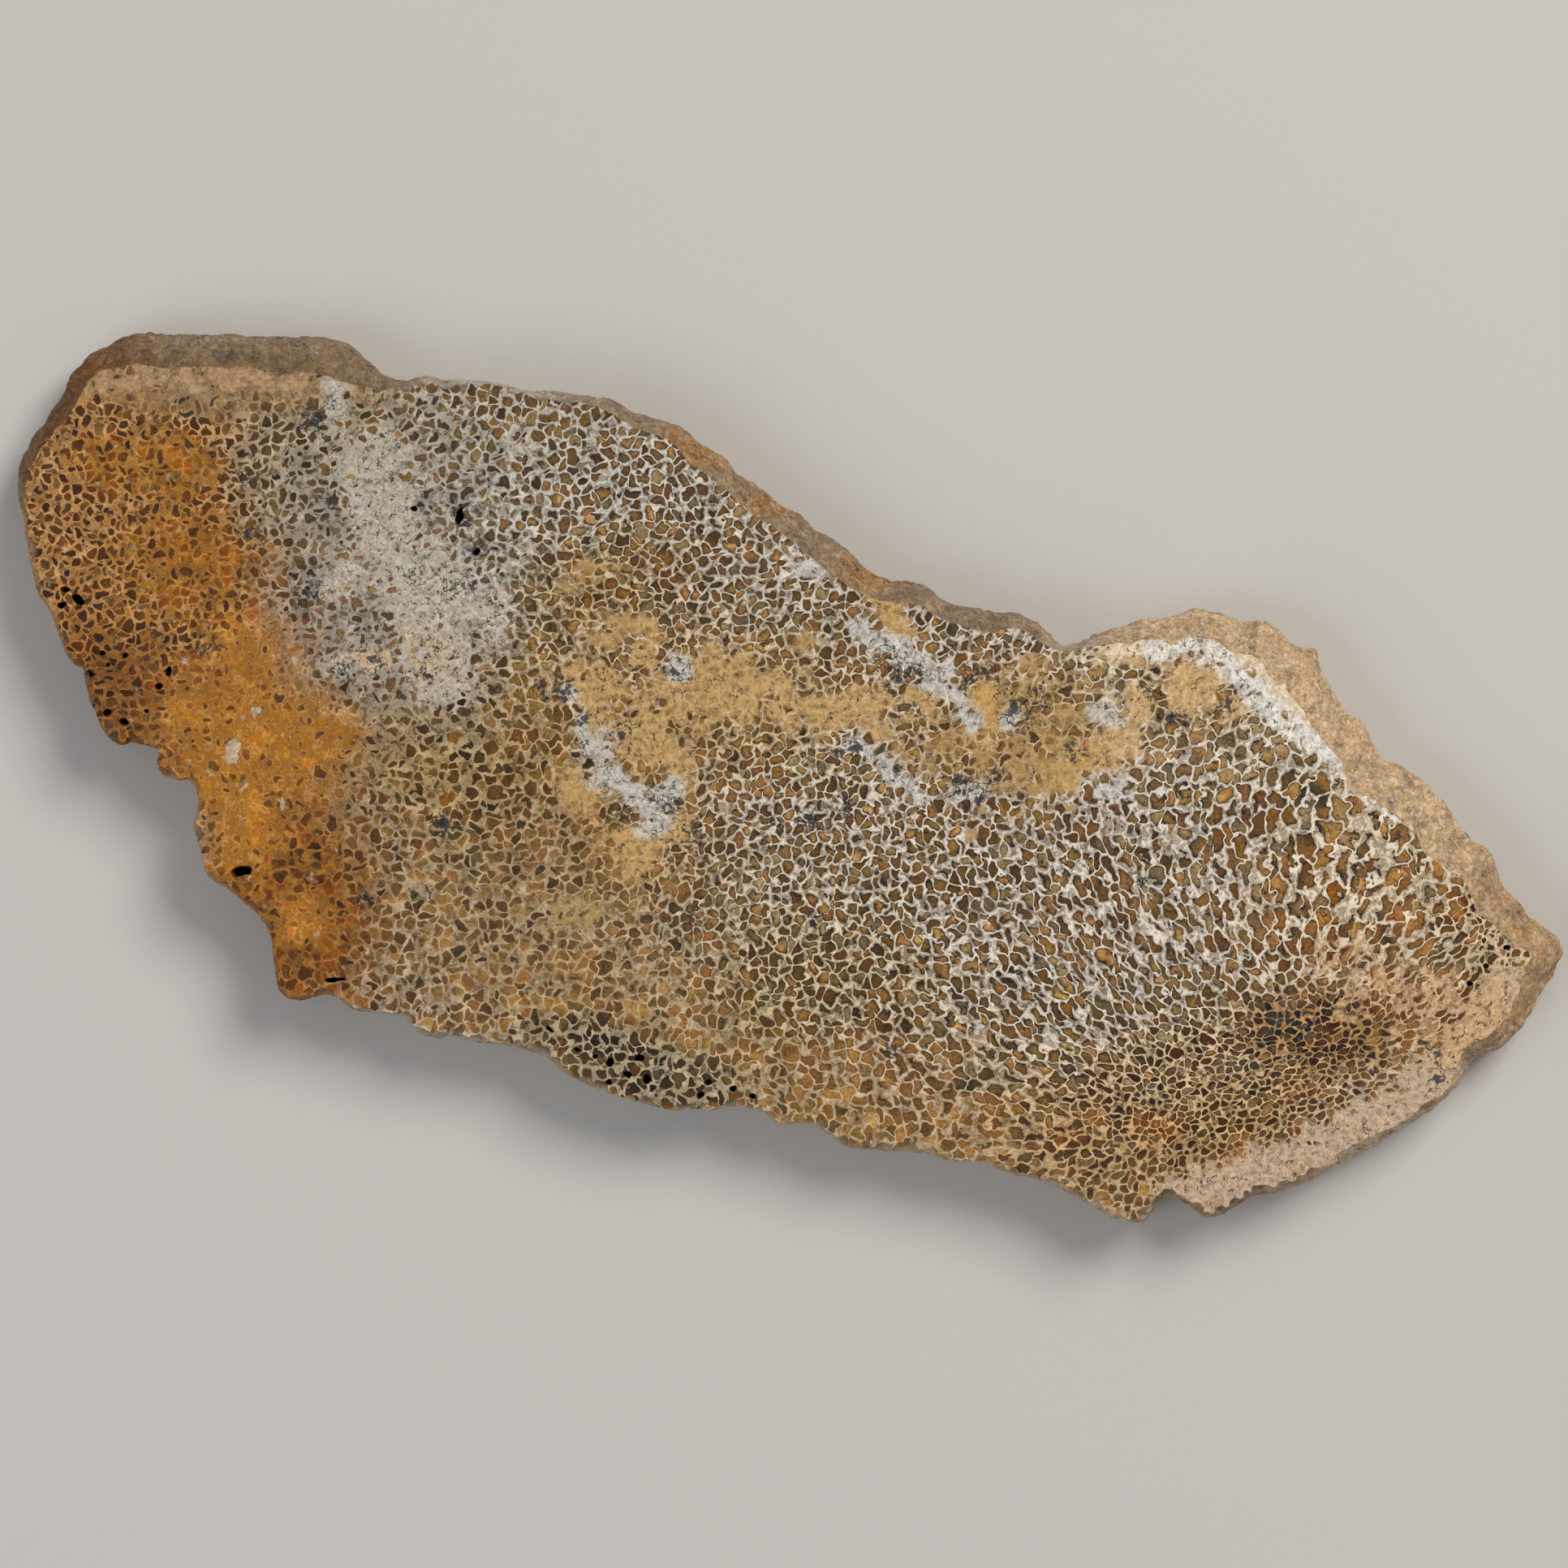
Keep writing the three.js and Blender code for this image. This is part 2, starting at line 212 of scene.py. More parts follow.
cad_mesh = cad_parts["bone_slab"].data
cad_mesh.calc_loop_triangles()
cad_points = np.empty(len(cad_mesh.vertices) * 3)
cad_mesh.vertices.foreach_get("co", cad_points)
cad_triangles = np.empty(len(cad_mesh.loop_triangles) * 3, dtype=np.int32)
cad_mesh.loop_triangles.foreach_get("vertices", cad_triangles)
points, triangles = merged(cad_points.reshape(-1, 3) / MM, cad_triangles.reshape(-1, 3))

heights = points[triangles][:, :, 2]
sawn = (heights > THICKNESS - ON_FACE).all(axis=1) | (heights < ON_FACE).all(axis=1)
points, walls = split_triangles(points, triangles[~sawn], WALL_SPLIT)

rims = open_edges(walls)
on_rim = np.zeros(len(points), dtype=bool)
on_rim[rims] = True
wall_edges = np.unique(np.sort(edges_of(walls), axis=1), axis=0)
for _ in range(SMOOTH_PASSES):
    mean = np.where(on_rim[:, None], neighbour_mean(points, rims), neighbour_mean(points, wall_edges))
    points = points + SMOOTH_STEP * (mean - points)

# Where along the edge each wall point stands, measured from the broken west end, and whether
# the wall there is natural surface, which slopes out below the rim, or a steep break.
WEST_LEAN = 0.5  # the west end lies furthest west, counting this share of the way south too
SLOPE_REACH = 3.0  # mm along the edge over which the slope is averaged
UPPER_WALL = (0.45, 0.98)  # share of the thickness between which the slope is read
BREAK_SLOPE = 0.10  # upward part of the wall's normal on a break
SKIN_SLOPE = 0.24  # and where it is all natural surface


def ramp(value, low, high):
    """0 below low, 1 above high, smooth between."""
    share = np.clip((value - low) / (high - low), 0, 1)
    return share * share * (3 - 2 * share)


def nearest(places, route):
    """For each place, the number of the nearest point of the route."""
    tree = kdtree.KDTree(len(route))
    for number, (x, y) in enumerate(route):
        tree.insert((x, y, 0), number)
    tree.balance()
    return np.array([tree.find((x, y, 0))[1] for x, y in places])


top_loops = rim_loops(rims, points, THICKNESS)
low_loops = rim_loops(rims, points, 0.0)
west_end = int(np.argmin(points[top_loops[0]][:, 0] + points[top_loops[0]][:, 1] * WEST_LEAN))
outer_rim = np.roll(top_loops[0], -west_end)
rim_places = points[outer_rim][:, :2]
rim_steps = np.linalg.norm(np.roll(rim_places, -1, axis=0) - rim_places, axis=1)
rim_reach = np.concatenate([[0.0], np.cumsum(rim_steps)[:-1]])
PERIMETER = rim_steps.sum()

in_cell = np.ones(len(points), dtype=bool)
front = set(outer_rim.tolist())
neighbours = [[] for _ in range(len(points))]
for a, b in wall_edges.tolist():
    neighbours[a].append(b)
    neighbours[b].append(a)
while front:
    in_cell[list(front)] = False
    front = {n for here in front for n in neighbours[here] if in_cell[n]}

station = nearest(points[:, :2], rim_places)
along = rim_reach[station]
normals = point_normals(points, walls)
bottom, top = THICKNESS * UPPER_WALL[0], THICKNESS * UPPER_WALL[1]
upper = ~in_cell & (points[:, 2] > bottom) & (points[:, 2] < top)
slope_sum = np.bincount(station[upper], normals[upper, 2], minlength=len(rim_places))
slope_count = np.bincount(station[upper], minlength=len(rim_places))
reach = int(SLOPE_REACH / rim_steps.mean())
window = np.ones(2 * reach + 1)
wrapped_sum = np.concatenate([slope_sum[-reach:], slope_sum, slope_sum[:reach]])
wrapped_count = np.concatenate([slope_count[-reach:], slope_count, slope_count[:reach]])
slope = np.convolve(wrapped_sum, window, "valid") / np.convolve(wrapped_count, window, "valid")
natural = np.where(in_cell, 0.0, ramp(slope, BREAK_SLOPE, SKIN_SLOPE)[station])

# Where the sponge is broken its cells stand open, between crests that are their walls. The
# natural surface is a dense crust: low swells, fine ledges that run along the edge, and grit.
# Pitches and depths are in mm.
BROKEN_CELL = 1.7  # mm across, a marrow cell in the broken edge
BROKEN_DEPTH = 0.6
CREST = 0.42  # share of a cell that the flanks of its walls take
BEND_PITCH = 1.4
BEND = 0.35
SWELL_PITCH = 3.2
SWELL_DEPTH = 0.3
LEDGE_PITCH = (1.7, 0.9, 1.0)  # mm along the edge, down it, and unused
LEDGE_DEPTH = 0.2
DIMPLE_DEPTH = 0.16  # what is left of the cells in the natural surface
GRIT_PITCH = 0.6
GRIT_DEPTH = 0.09
RAGGED_PITCH = 0.9
RAGGED = 0.2  # how far the wall of an open cell strays in and out


def lumps(places, pitch, octaves=2, shift=0.0):
    """Noise of about -1 to 1 at each place, with lumps about one pitch across."""
    scaled = places / np.array(pitch) + shift
    return np.array([noise.fractal(Vector(p), 1.0, 2.0, octaves) for p in scaled])


def cell_crests(places, pitch, crest):
    """1 on the wall between two cells, falling to 0 inside them."""
    found = np.array([noise.voronoi(Vector(p))[0][:2] for p in places / pitch])
    return 1 - ramp(found[:, 1] - found[:, 0], 0.0, crest)


edge_place = np.stack([along, points[:, 2], np.zeros(len(points))], axis=1)
bends = np.stack([lumps(points, BEND_PITCH, shift=s) for s in (0.0, 31.7, 77.1)], axis=1)
pit = 1 - cell_crests(points + BEND * bends, BROKEN_CELL, CREST)
swell = SWELL_DEPTH * lumps(points, SWELL_PITCH) + LEDGE_DEPTH * lumps(edge_place, LEDGE_PITCH, 3)
swell += DIMPLE_DEPTH * (pit - 0.5)
ragged = RAGGED * lumps(points, RAGGED_PITCH)
inset = np.where(in_cell, ragged, natural * swell + (1 - natural) * BROKEN_DEPTH * (pit - 0.5))
inset += GRIT_DEPTH * lumps(points, GRIT_PITCH)
direction = normals.copy()
direction[on_rim, 2] = 0
points = points - direction * inset[:, None]
points[:, 2] = np.where(on_rim, np.round(points[:, 2] / THICKNESS) * THICKNESS, points[:, 2])
points[:, 2] = np.clip(points[:, 2], 0, THICKNESS)

# Each sawn face is filled between the ragged rim and the mouths of the open cells.
TOP_PITCH = 0.55  # mm between the points of the upper sawn face
LOW_PITCH = 1.1  # and of the lower one
FACE_JITTER = 0.15
RIM_CLEAR = 0.35  # mm from the rim to the nearest point inside


def inside(places, ring_edges, chunk=200):
    """Whether each place lies within the rings, by counting the edges crossed on the way out."""
    (ax, ay), (bx, by) = ring_edges[:, 0].T, ring_edges[:, 1].T
    found = []
    for start in range(0, len(places), chunk):
        x, y = places[start : start + chunk, :1], places[start : start + chunk, 1:]
        spans = (ay[None] > y) != (by[None] > y)
        crossing = ax + (y - ay) * (bx - ax) / np.where(by == ay, 1, by - ay)
        found.append((spans & (x < crossing)).sum(axis=1) % 2 == 1)
    return np.concatenate(found)


def sawn_face(points, loops, height, pitch, upward):
    """The points with new ones for a sawn face added, and the triangles that fill it."""
    rim = np.array([n for loop in loops for n in loop])
    ends, start = [], 0
    for loop in loops:
        ends += [(start + k, start + (k + 1) % len(loop)) for k in range(len(loop))]
        start += len(loop)
    ring = points[rim][:, :2]
    ring_edges = ring[np.array(ends)]
    (west, south), (east, north) = ring.min(axis=0), ring.max(axis=0)
    rows = np.arange(south, north, pitch * math.sqrt(3) / 2)
    columns = np.arange(west, east, pitch)
    grid = np.array([(x + (k % 2) * pitch / 2, y) for k, y in enumerate(rows) for x in columns])
    grid += np.random.default_rng(7).uniform(-1, 1, grid.shape) * FACE_JITTER * pitch
    grid = grid[inside(grid, ring_edges)]
    grid = grid[np.linalg.norm(grid - ring[nearest(grid, ring)], axis=1) > RIM_CLEAR]
    places = [Vector(p) for p in np.concatenate([ring, grid]).tolist()]
    found, _, faces, origins, _, _ = geometry.delaunay_2d_cdt(places, ends, [], 0, 1e-7)
    first = len(points)
    numbers = np.concatenate([rim, first + np.arange(len(grid))])
    faces = np.array([[origins[n][0] for n in face] for face in faces])
    middles = np.concatenate([ring, grid])[faces].mean(axis=1)
    faces = numbers[faces[inside(middles, ring_edges)]]
    added = np.column_stack([grid, np.full(len(grid), height)])
    return np.concatenate([points, added]), faces if upward else faces[:, ::-1]


wall_count = len(points)
points, top_face = sawn_face(points, top_loops, THICKNESS, TOP_PITCH, upward=True)
points, low_face = sawn_face(points, low_loops, 0.0, LOW_PITCH, upward=False)
triangles = np.concatenate([walls, top_face, low_face])
is_wall = np.arange(len(triangles)) < len(walls)


def for_all(values):
    """Values of the wall's points, with noughts for the points of the sawn faces."""
    rest = np.zeros((len(points) - wall_count,) + values.shape[1:])
    return np.concatenate([values, rest])


slab_mesh = bpy.data.meshes.new("bone_slab_stone")
slab_mesh.from_pydata((points * MM).tolist(), [], triangles.tolist())
slab_mesh.polygons.foreach_set("use_smooth", is_wall)
slab = bpy.data.objects.new("bone_slab_stone", slab_mesh)
bpy.context.scene.collection.objects.link(slab)
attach(slab, "root")
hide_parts("bone_slab")

# ---- The slab: what stained it ----
# Chalcedony filled the marrow cells of grey-white bone. Iron stained the west end rusty, ochre
# clay and white silica closed the cells in patches, and manganese drew blue-black dendrites
# beside them. Places are in mm from the middle of the slab.

BONE = "#cfc1ae"
CHALCEDONY = "#78592f"
CRUST = "#917a61"
DRIFT_PITCH = 3.5  # mm, lumps in the outline of a stain
DRIFT = 0.7
FRAY_PITCH = 1.2
FRAY = 0.3
LEAN = (-2.6, 1.8)  # mm that a stain shifts from the upper face to the lower one

drift = np.stack([lumps(points, DRIFT_PITCH, shift=s) for s in (5.3, 41.9)], axis=1)
fray = np.stack([lumps(points, FRAY_PITCH, shift=s) for s in (9.1, 63.2)], axis=1)
plan = points[:, :2] + DRIFT * drift + FRAY * fray
plan += np.array(LEAN) * (1 - points[:, 2:] / THICKNESS)

bone_tint = np.tile(linear(BONE), (len(points), 1))
fill_tint = np.tile(linear(CHALCEDONY), (len(points), 1))
crust_tint = np.tile(linear(CRUST), (len(points), 1))
clay_tint = np.tile(linear(BONE), (len(points), 1))
clay = np.zeros(len(points))
dense = np.zeros(len(points))
dendrites = np.zeros(len(points))
lined = np.zeros(len(points))


def patch(x, y, long, short=None, turn=0, soft=0.4):
    """How far each point lies within an oval spot: 1 inside, 0 outside."""
    turned = math.radians(turn)
    dx, dy = plan[:, 0] - x, plan[:, 1] - y
    across = (dx * math.cos(turned) + dy * math.sin(turned)) / long
    down = (dy * math.cos(turned) - dx * math.sin(turned)) / (short or long)
    return 1 - ramp(np.hypot(across, down), 1 - soft, 1 + soft)


def vein(route, width, soft=0.5):
    """How far each point lies within a band that follows a route of x, y pairs."""
    route = np.array(route)
    apart = np.full(len(points), np.inf)
    for start, end in zip(route[:-1], route[1:]):
        way = end - start
        share = np.clip((plan - start) @ way / (way @ way), 0, 1)
        apart = np.minimum(apart, np.linalg.norm(plan - start - share[:, None] * way, axis=1))
    half = width / 2
    return 1 - ramp(apart, half * (1 - soft), half * (1 + soft))


def patches(spots, soft=0.4):
    """How far each point lies within any of several oval spots."""
    return np.max([patch(*spot, soft=soft) for spot in spots], axis=0)


def dye(tint, share, colour):
    """Lays a colour over a tint where the share is high."""
    tint += share[:, None] * (np.array(linear(colour)) - tint)


def stain(share, bone=None, fill=None, crust=None):
    """Colours the bone walls, the agate in the cells and the natural crust over a share."""
    for tint, colour in ((bone_tint, bone), (fill_tint, fill), (crust_tint, crust)):
        if colour:
            dye(tint, share, colour)


def thicken(share, amount):
    """Makes the cell walls thicker over a share, until at 1 no cell is left open."""
    np.maximum(dense, share * amount, out=dense)


def settle(share, colour, amount=1.0):
    """Closes the cells with clay or silica of one colour over a share."""
    dye(clay_tint, ramp(share, 0.0, 0.3), colour)
    np.maximum(clay, share * amount, out=clay)


# Broad changes of colour from end to end, and rust in the fine cells of the south-east.
stain(patch(34, -8, 34, 22, soft=0.6), bone="#d8cab8", fill="#735429")
stain(patch(-20, -14, 24, 12, -12, soft=0.6), bone="#c5af8e", fill="#745732")
stain(patch(-30, 4, 12, 10, soft=0.5), bone="#c6ac82", fill="#5c3f16")
stain(patch(-24, 29, 22, 10, -8, soft=0.5), bone="#cfc7b8", fill="#6a4f2e")
stain(patch(8, -29, 30, 7, -14, soft=0.6), bone="#cdb28d", fill="#8f6a38")
stain(patch(57, -12, 14, 14, soft=0.6), bone="#e8d2b4", fill="#9c6e36")
stain(patch(36, -30, 15, 7, 12, soft=0.5), bone="#dfbc8a", fill="#452809")
rust_spots = patches((
    (28.1, -31.3, 1.4), (34.1, -32.6, 2.1, 1.5), (25.2, -33.0, 1.4), (18.7, -31.3, 1.9, 1.3),
    (41.0, -34.4, 1.8, 1.2), (46.5, -28.6, 2.2, 1.2, 25),
), 0.8)
stain(0.6 * rust_spots, bone="#d0a26e", fill="#80481a")
stain(patch(-14, -26.5, 10, 3, -16, soft=0.5), bone="#c8b99a", fill="#2e1f0c")
stain(patch(38, 9, 13, 8, soft=0.5), bone="#f0e4cf", fill="#b89b74")
stain(patch(-20, 17, 10, 5, 12, soft=0.6), bone="#bd9e6b", fill="#6f4a18")
stain(patch(2, -19, 10, 6, soft=0.5), bone="#c8b188", fill="#694a1d")

# The rusty west end and its break, and the orange clay that closes the cells beside it.
stain(patch(-61, 22, 17, 24, soft=0.55), bone="#d5a878", fill="#563107")
stain(patch(-44, 30, 8, 8, soft=0.5), bone="#cabb9f", fill="#493718")
stain(patch(-52, 37, 13, 3.5, soft=0.5), bone="#b4997a", fill="#80643f", crust="#7f684b")
stain(patch(-64, 6, 8, 8, soft=0.5), bone="#a3713c", fill="#50280a")
stain(patch(-47, -12, 8, 12, soft=0.5), bone="#a9753a", fill="#70400a")
stain(patch(-50, 5, 9, 9, soft=0.5), bone="#c28f56", fill="#8a5824")
thicken(patch(-58, 22, 20, 26, soft=0.3), 0.13)
thicken(patch(-46, 5, 12, 10, soft=0.5), 0.35)
orange = patches((
    (-48.5, 4.3, 5.9, 4.7), (-52.2, -0.2, 3.8, 4.7), (-49.2, 12.5, 4.5, 3.0), (-50.7, -5.5, 3.2, 3.8),
    (-42.5, 4.3, 2.7, 2.7), (-56.0, 5.8, 2.0, 2.7), (-45.5, -13.0, 2.4, 2.1),
), 0.7)
rusty = patches(((-56, 20, 6, 4), (-63.5, 29, 3, 2), (-57.5, 28.5, 4, 2.6), (-50, 19.5, 3.5, 2.5)), 0.8)
stain(rusty, bone="#c08a4a", fill="#84500f")
stain(orange, bone="#d89f5e", fill="#a26a28")
thicken(orange, 0.5)
settle(patches(((-52.0, 2.4, 0.7, 1.0), (-49.4, 6.2, 0.7, 0.5))), "#cbb59a")
north_rim = vein([(-65, 36.4), (-59.7, 37.1), (-53.7, 36.7), (-46.2, 36.7), (-38, 36)], 2.6, 0.8)
settle(north_rim, "#bb9871", 0.6)

# The white core, where the bone was bleached and closed, and the white veins.
core = vein([(-39.1, 28.7), (-38.0, 23.8), (-35.3, 19.3), (-33.5, 14.8), (-32.7, 9.9)], 6.5)
core = np.maximum(core, patches((
    (-41.3, 18.2, 2.3, 2.1), (-40.2, 10.7, 3.2, 1.4), (-31.2, 16.3, 3.3, 3.0), (-42.3, 33.6, 1.2, 2.7),
    (-37.2, 29.8, 2.0, 1.7), (-27.3, 14.6, 1.5, 3.0),
), 0.7))
stain(patch(-36, 19, 12, 13, soft=0.5), bone="#b9b0a3", fill="#5f4c33")
thicken(patch(-36, 19, 13, 14, soft=0.6), 0.25)
stain(core, bone="#d4cbbc", fill="#6a4c2e")
settle(core, "#c7bcaa", 0.6)
dye(clay_tint, patch(-37, 11, 5, 2.6, soft=0.7), "#d2b690")
white = np.maximum.reduce([
    0.7 * vein([(-21.1, 8.0), (-19.6, 4.3), (-19.0, 1.3), (-16.6, -1.4)], 1.3, 0.9),
    vein([(6.6, 13.6), (9.2, 11.5), (11.4, 10.6), (13.6, 10.2)], 2.3, 0.8),
    vein([(12.4, 9.2), (15.0, 7.3), (16.3, 5.2)], 1.9, 0.8),
    0.9 * vein([(5.3, 3.0), (8.5, 0.6), (11.8, -2.1)], 1.7, 0.9),
    vein([(-17.3, 0.6), (-15.2, -1.6), (-13.0, -2.6), (-11.4, -1.2)], 2.0, 0.8),
    patches((
        (-10.7, 10.3, 1.0, 1.0), (-12.9, -3.6, 1.4, 1.6), (29.0, 5.9, 1.2, 1.2), (1.6, 19.4, 1.6, 1.2),
        (29.6, -1.4, 2.2, 1.4), (-17.6, 2.2, 0.8, 1.6), (20.4, 5.0, 0.8, 1.0), (16.0, -1.4, 1.4, 1.0),
    ), 0.8),
])

# The ochre clay of the middle band, and the peach clay east of it.
ochre = patches((
    (-6.8, 8.0, 6.6, 3.0), (3.0, 5.6, 4.4, 2.1, -8), (-18.4, 8.9, 3.0, 1.8, -10),
    (-18.6, 5.4, 1.2, 3.2, 8), (-13.2, 3.2, 3.9, 2.1, -30), (-10.6, 0.2, 1.4, 2.3),
    (-7.9, 10.4, 4.1, 1.5), (6.8, 6.4, 2.4, 2.3), (12.4, 7.7, 2.3, 1.4), (-14.3, -6.6, 2.1, 2.7),
    (-11.5, -4.7, 1.9, 1.8), (-19.6, -1.4, 1.8, 2.1), (-13.4, 11.8, 1.0, 2.6, 10),
), 0.7)
dull = patches((
    (-19.2, 18.9, 2.6, 1.1, 10), (-15.8, 13.7, 3.2, 1.7), (0.0, 12.5, 2.1, 1.1), (23.6, 0.5, 3.2, 2.9),
    (22.3, 9.7, 1.8, 1.5), (9.7, 1.3, 1.4, 1.2), (16.3, -4.7, 0.8, 1.5), (7.8, 4.3, 4.5, 1.4, -8),
    (-20.3, -12.6, 2.7, 1.6),
), 0.8)
peach = patches((
    (30.0, 2.6, 2.4, 2.1), (31.5, 6.5, 1.2, 2.3), (36.8, 8.2, 2.7, 2.6), (40.9, 6.4, 1.8, 1.2),
    (8.6, 16.1, 1.4, 1.2), (33.0, 12.0, 5.5, 1.3, 8),
), 0.7)
vivid = patches((
    (18.1, 6.5, 2.1, 2.6, 10), (9.9, 13.8, 1.2, 2.0, 25), (27.2, 1.3, 1.8, 1.2), (25.7, -0.7, 1.2, 0.9),
), 0.7)
tanned = patches(((-8, 7, 17, 7, -6), (-15, -3, 7, 8), (20, 5, 12, 6), (37, 8, 7, 5)), soft=0.5)
stain(tanned, bone="#ccab7c", fill="#80602f")
wash = patch(21, 3, 10, 6.5, soft=0.6)  # thin clay between the spots
settle(wash, "#b8955e", 0.4)
settle(dull, "#b8955e", 0.6)
settle(peach, "#d5b07c", 0.9)
settle(ochre, "#cba56c", 0.8)
settle(vivid, "#cba264", 0.9)
stain(white, bone="#e2dcd2")
settle(white, "#d2cbc0", 0.62)

# The cortex: dense bone under the natural surface, widest in the south-east and at the tip.
cortex = vein([(36, -39), (42, -37.5), (50, -34.2), (57, -30.2), (62, -26), (66, -20)], 4.6, 0.8)
stain(cortex, bone="#cfb69a", crust="#c7ad90")
settle(cortex, "#cfb498", 0.9)
grainy = patches(((55.9, -20.1, 7.1, 3.2), (51.4, -17.1, 3.5, 3.0), (61.9, -23.5, 3.8, 2.3, 30)), 0.8)
stain(grainy, bone="#d9b78e", fill="#7c4a1e")
settle(grainy, "#d6b48a", 0.4)
rim_clay = vein([(43.9, 8.0), (48.4, 3.9), (51.4, 0.5), (55.2, -2.1), (58.9, -4.0), (63.0, -7.4)], 2.4)
settle(rim_clay, "#d3bf9f", 0.6)
shoulder = vein([(30, 12.5), (36, 14.0), (41, 13.0), (44.5, 9.5), (48.6, 5.6)], 2.6)
settle(shoulder, "#f0dab8", 0.85)
streak = vein([(33.6, 12.2), (36.0, 12.6), (39.8, 11.0), (43.0, 7.7), (46.9, 3.8)], 1.9, 0.9)
streak_end = vein([(46.9, 3.9), (49.9, 1.3), (53.7, -2.5), (57.0, -4.0)], 1.6, 0.9)
streak = np.maximum(streak, 0.7 * streak_end)
stain(streak, bone="#f2ece2", fill="#a88a5c")
thicken(streak, 0.25)
settle(streak, "#f3ede3", 0.6)
stain(patch(64, -14, 4.5, 5, soft=0.6), bone="#ebd2ac", fill="#462809")
thicken(patch(66, -17, 3.5, 3.5, soft=0.6), 0.25)

# Cells with a colour of their own: olive, rust and amber agate in the wide cells of the east,
# and black, slate and amber in the iron and manganese nest of the south-east.
CELL_COLOURS = (
    ("#3a3316", ((48.2, -1.7, 1.1, 1.4), (55.2, -15.2, 0.8, 0.9), (16.1, -28.4, 1.1, 0.7))),
    ("#33200e", ((48.4, -4.7, 1.1, 1.1), (-29.3, 8.4, 2.0, 1.1), (-30.1, 6.2, 2.0, 1.2))),
    ("#46320f", ((-33.3, 8.3, 1.2, 0.9), (-36.2, 5.3, 0.9, 0.8), (-30.1, 2.4, 0.9, 1.5, -20))),
    ("#5c4a20", ((58.3, -17.5, 1.4, 1.1), (59.7, -14.5, 0.9, 0.9), (17.8, -27.9, 1.1, 1.0))),
    ("#7a5a30", ((51.0, -8.1, 1.5, 2.1), (46.1, -10.0, 0.7, 2.7), (53.7, -24.0, 1.1, 1.4))),
    ("#b57a24", ((49.3, -11.9, 1.8, 1.8), (39.8, -37.0, 0.8, 0.8))),
    ("#b08a4a", ((52.0, -4.1, 2.4, 1.1), (61.5, -8.5, 1.5, 0.9))),
    ("#94632c", ((61.2, -11.9, 0.8, 1.8, 40), (39.4, 0.2, 1.0, 0.9))),
    ("#3c1c08", ((49.2, -23.9, 2.6, 1.6), (52.0, -22.8, 2.2, 1.7), (45.4, -24.6, 1.4, 1.2))),
    ("#0e141b", ((45.0, -22.4, 1.2, 1.6), (47.3, -22.9, 1.7, 1.3), (43.7, -24.7, 1.1, 0.9))),
    ("#171110", ((50.8, -21.3, 1.2, 1.2), (39.4, -28.8, 0.8, 0.8), (41.8, -29.1, 1.1, 0.7))),
    ("#453c36", ((41.8, -26.4, 1.5, 0.9), (25.7, -27.6, 1.1, 1.1), (30.0, -34.0, 1.1, 1.1))),
    ("#35220c", ((-57.5, 27.9, 1.0, 0.7), (-55.2, 12.7, 0.9, 0.9), (19.5, -18.2, 1.2, 0.9))),
)
nest = patch(49, -23.5, 7.5, 3.6, -4, soft=0.4)
stain(nest, bone="#caa271", fill="#1a0c03")
dense -= 0.1 * nest
stain(vein([(30.8, -25.8), (32.8, -28.2), (35.3, -30.9)], 1.6), fill="#2b2117")
for colour, spots in CELL_COLOURS:
    stain(patches(spots, soft=0.25), fill=colour)

# Rust spots in the crust, and paler stretches of it in the east: partly its own paler colour, partly
# painted light on the side that faces the key light.
stain(patches(((-9.4, 31.2, 2.4), (6.3, 19.8, 2.2), (-3, 26, 1.8)), soft=0.9), crust="#a4794a")
stain(patch(-66, 30, 7, 14, soft=0.5), crust="#774f26")
# Painted light in part: the east crust made paler, as the side that faces the key light.
stain(patch(48, 0, 22, 16, soft=0.5), crust="#c6a884")
stain(patch(36, 15, 11, 5, soft=0.5), crust="#c8aa86")
stain(patch(66, -18, 7, 9, soft=0.5), crust="#b3936c")

# Where dendrites grew, and where the cells carry a dark line of manganese.
SPRAYS = (
    (9.3, 9.5, 1.5), (11.2, 9.9, 1.1), (8.6, 11.4, 0.9), (16.1, 9.5, 1.1), (17.6, 9.7, 1.0),
    (19.6, 7.4, 1.0), (20.6, 6.4, 1.3), (21.9, 5.3, 1.1), (22.9, 6.8, 1.1), (34.9, 5.4, 1.3),
    (36.4, 4.7, 1.0), (32.6, 7.7, 1.0), (-10.7, 10.1, 1.1), (-12.6, -1.4, 1.0), (-11.5, -3.1, 1.0),
    (-9.8, -5.1, 1.3), (-15.8, -3.2, 1.3), (-9.0, -13.2, 1.0), (2.2, -13.7, 1.0), (-29.2, 21.2, 1.1),
    (-35.2, 18.8, 0.9), (-31.8, 17.6, 0.9), (-30.5, 17.4, 0.8), (-43.2, 25.5, 0.9), (-40.5, 11.4, 0.8),
    (-41.7, 9.9, 0.8), (-39.1, 10.7, 0.8), (-44.7, 17.0, 1.3), (-50.7, 27.6, 1.1), (-50.4, 22.7, 1.3),
    (-44.0, 33.4, 1.6), (15.4, -0.2, 1.3), (16.9, -2.1, 1.3), (18.5, -0.2, 1.0), (26.2, 2.2, 1.0),
    (1.8, -4.0, 1.3), (-1.2, -4.1, 1.0), (4.1, 1.9, 0.9), (5.7, 2.2, 0.8), (-19.2, 5.4, 0.9),
    (-19.8, 2.4, 1.0), (-15.7, 4.1, 1.2), (-21.4, 8.0, 1.2), (-23.3, 8.2, 1.0), (-34.1, 9.7, 0.9),
    (-32.3, -4.7, 1.5), (-39.8, -11.5, 0.9), (9.3, -25.0, 1.0), (59.7, -25.9, 0.9), (59.9, -28.2, 1.0),
    (40.3, 6.9, 1.2), (31.9, -9.6, 0.9), (-54.5, 11.8, 1.3), (4.8, -3.2, 1.1), (-30.3, 24.0, 1.3),
)
np.maximum(dendrites, patches(SPRAYS, soft=0.8), out=dendrites)
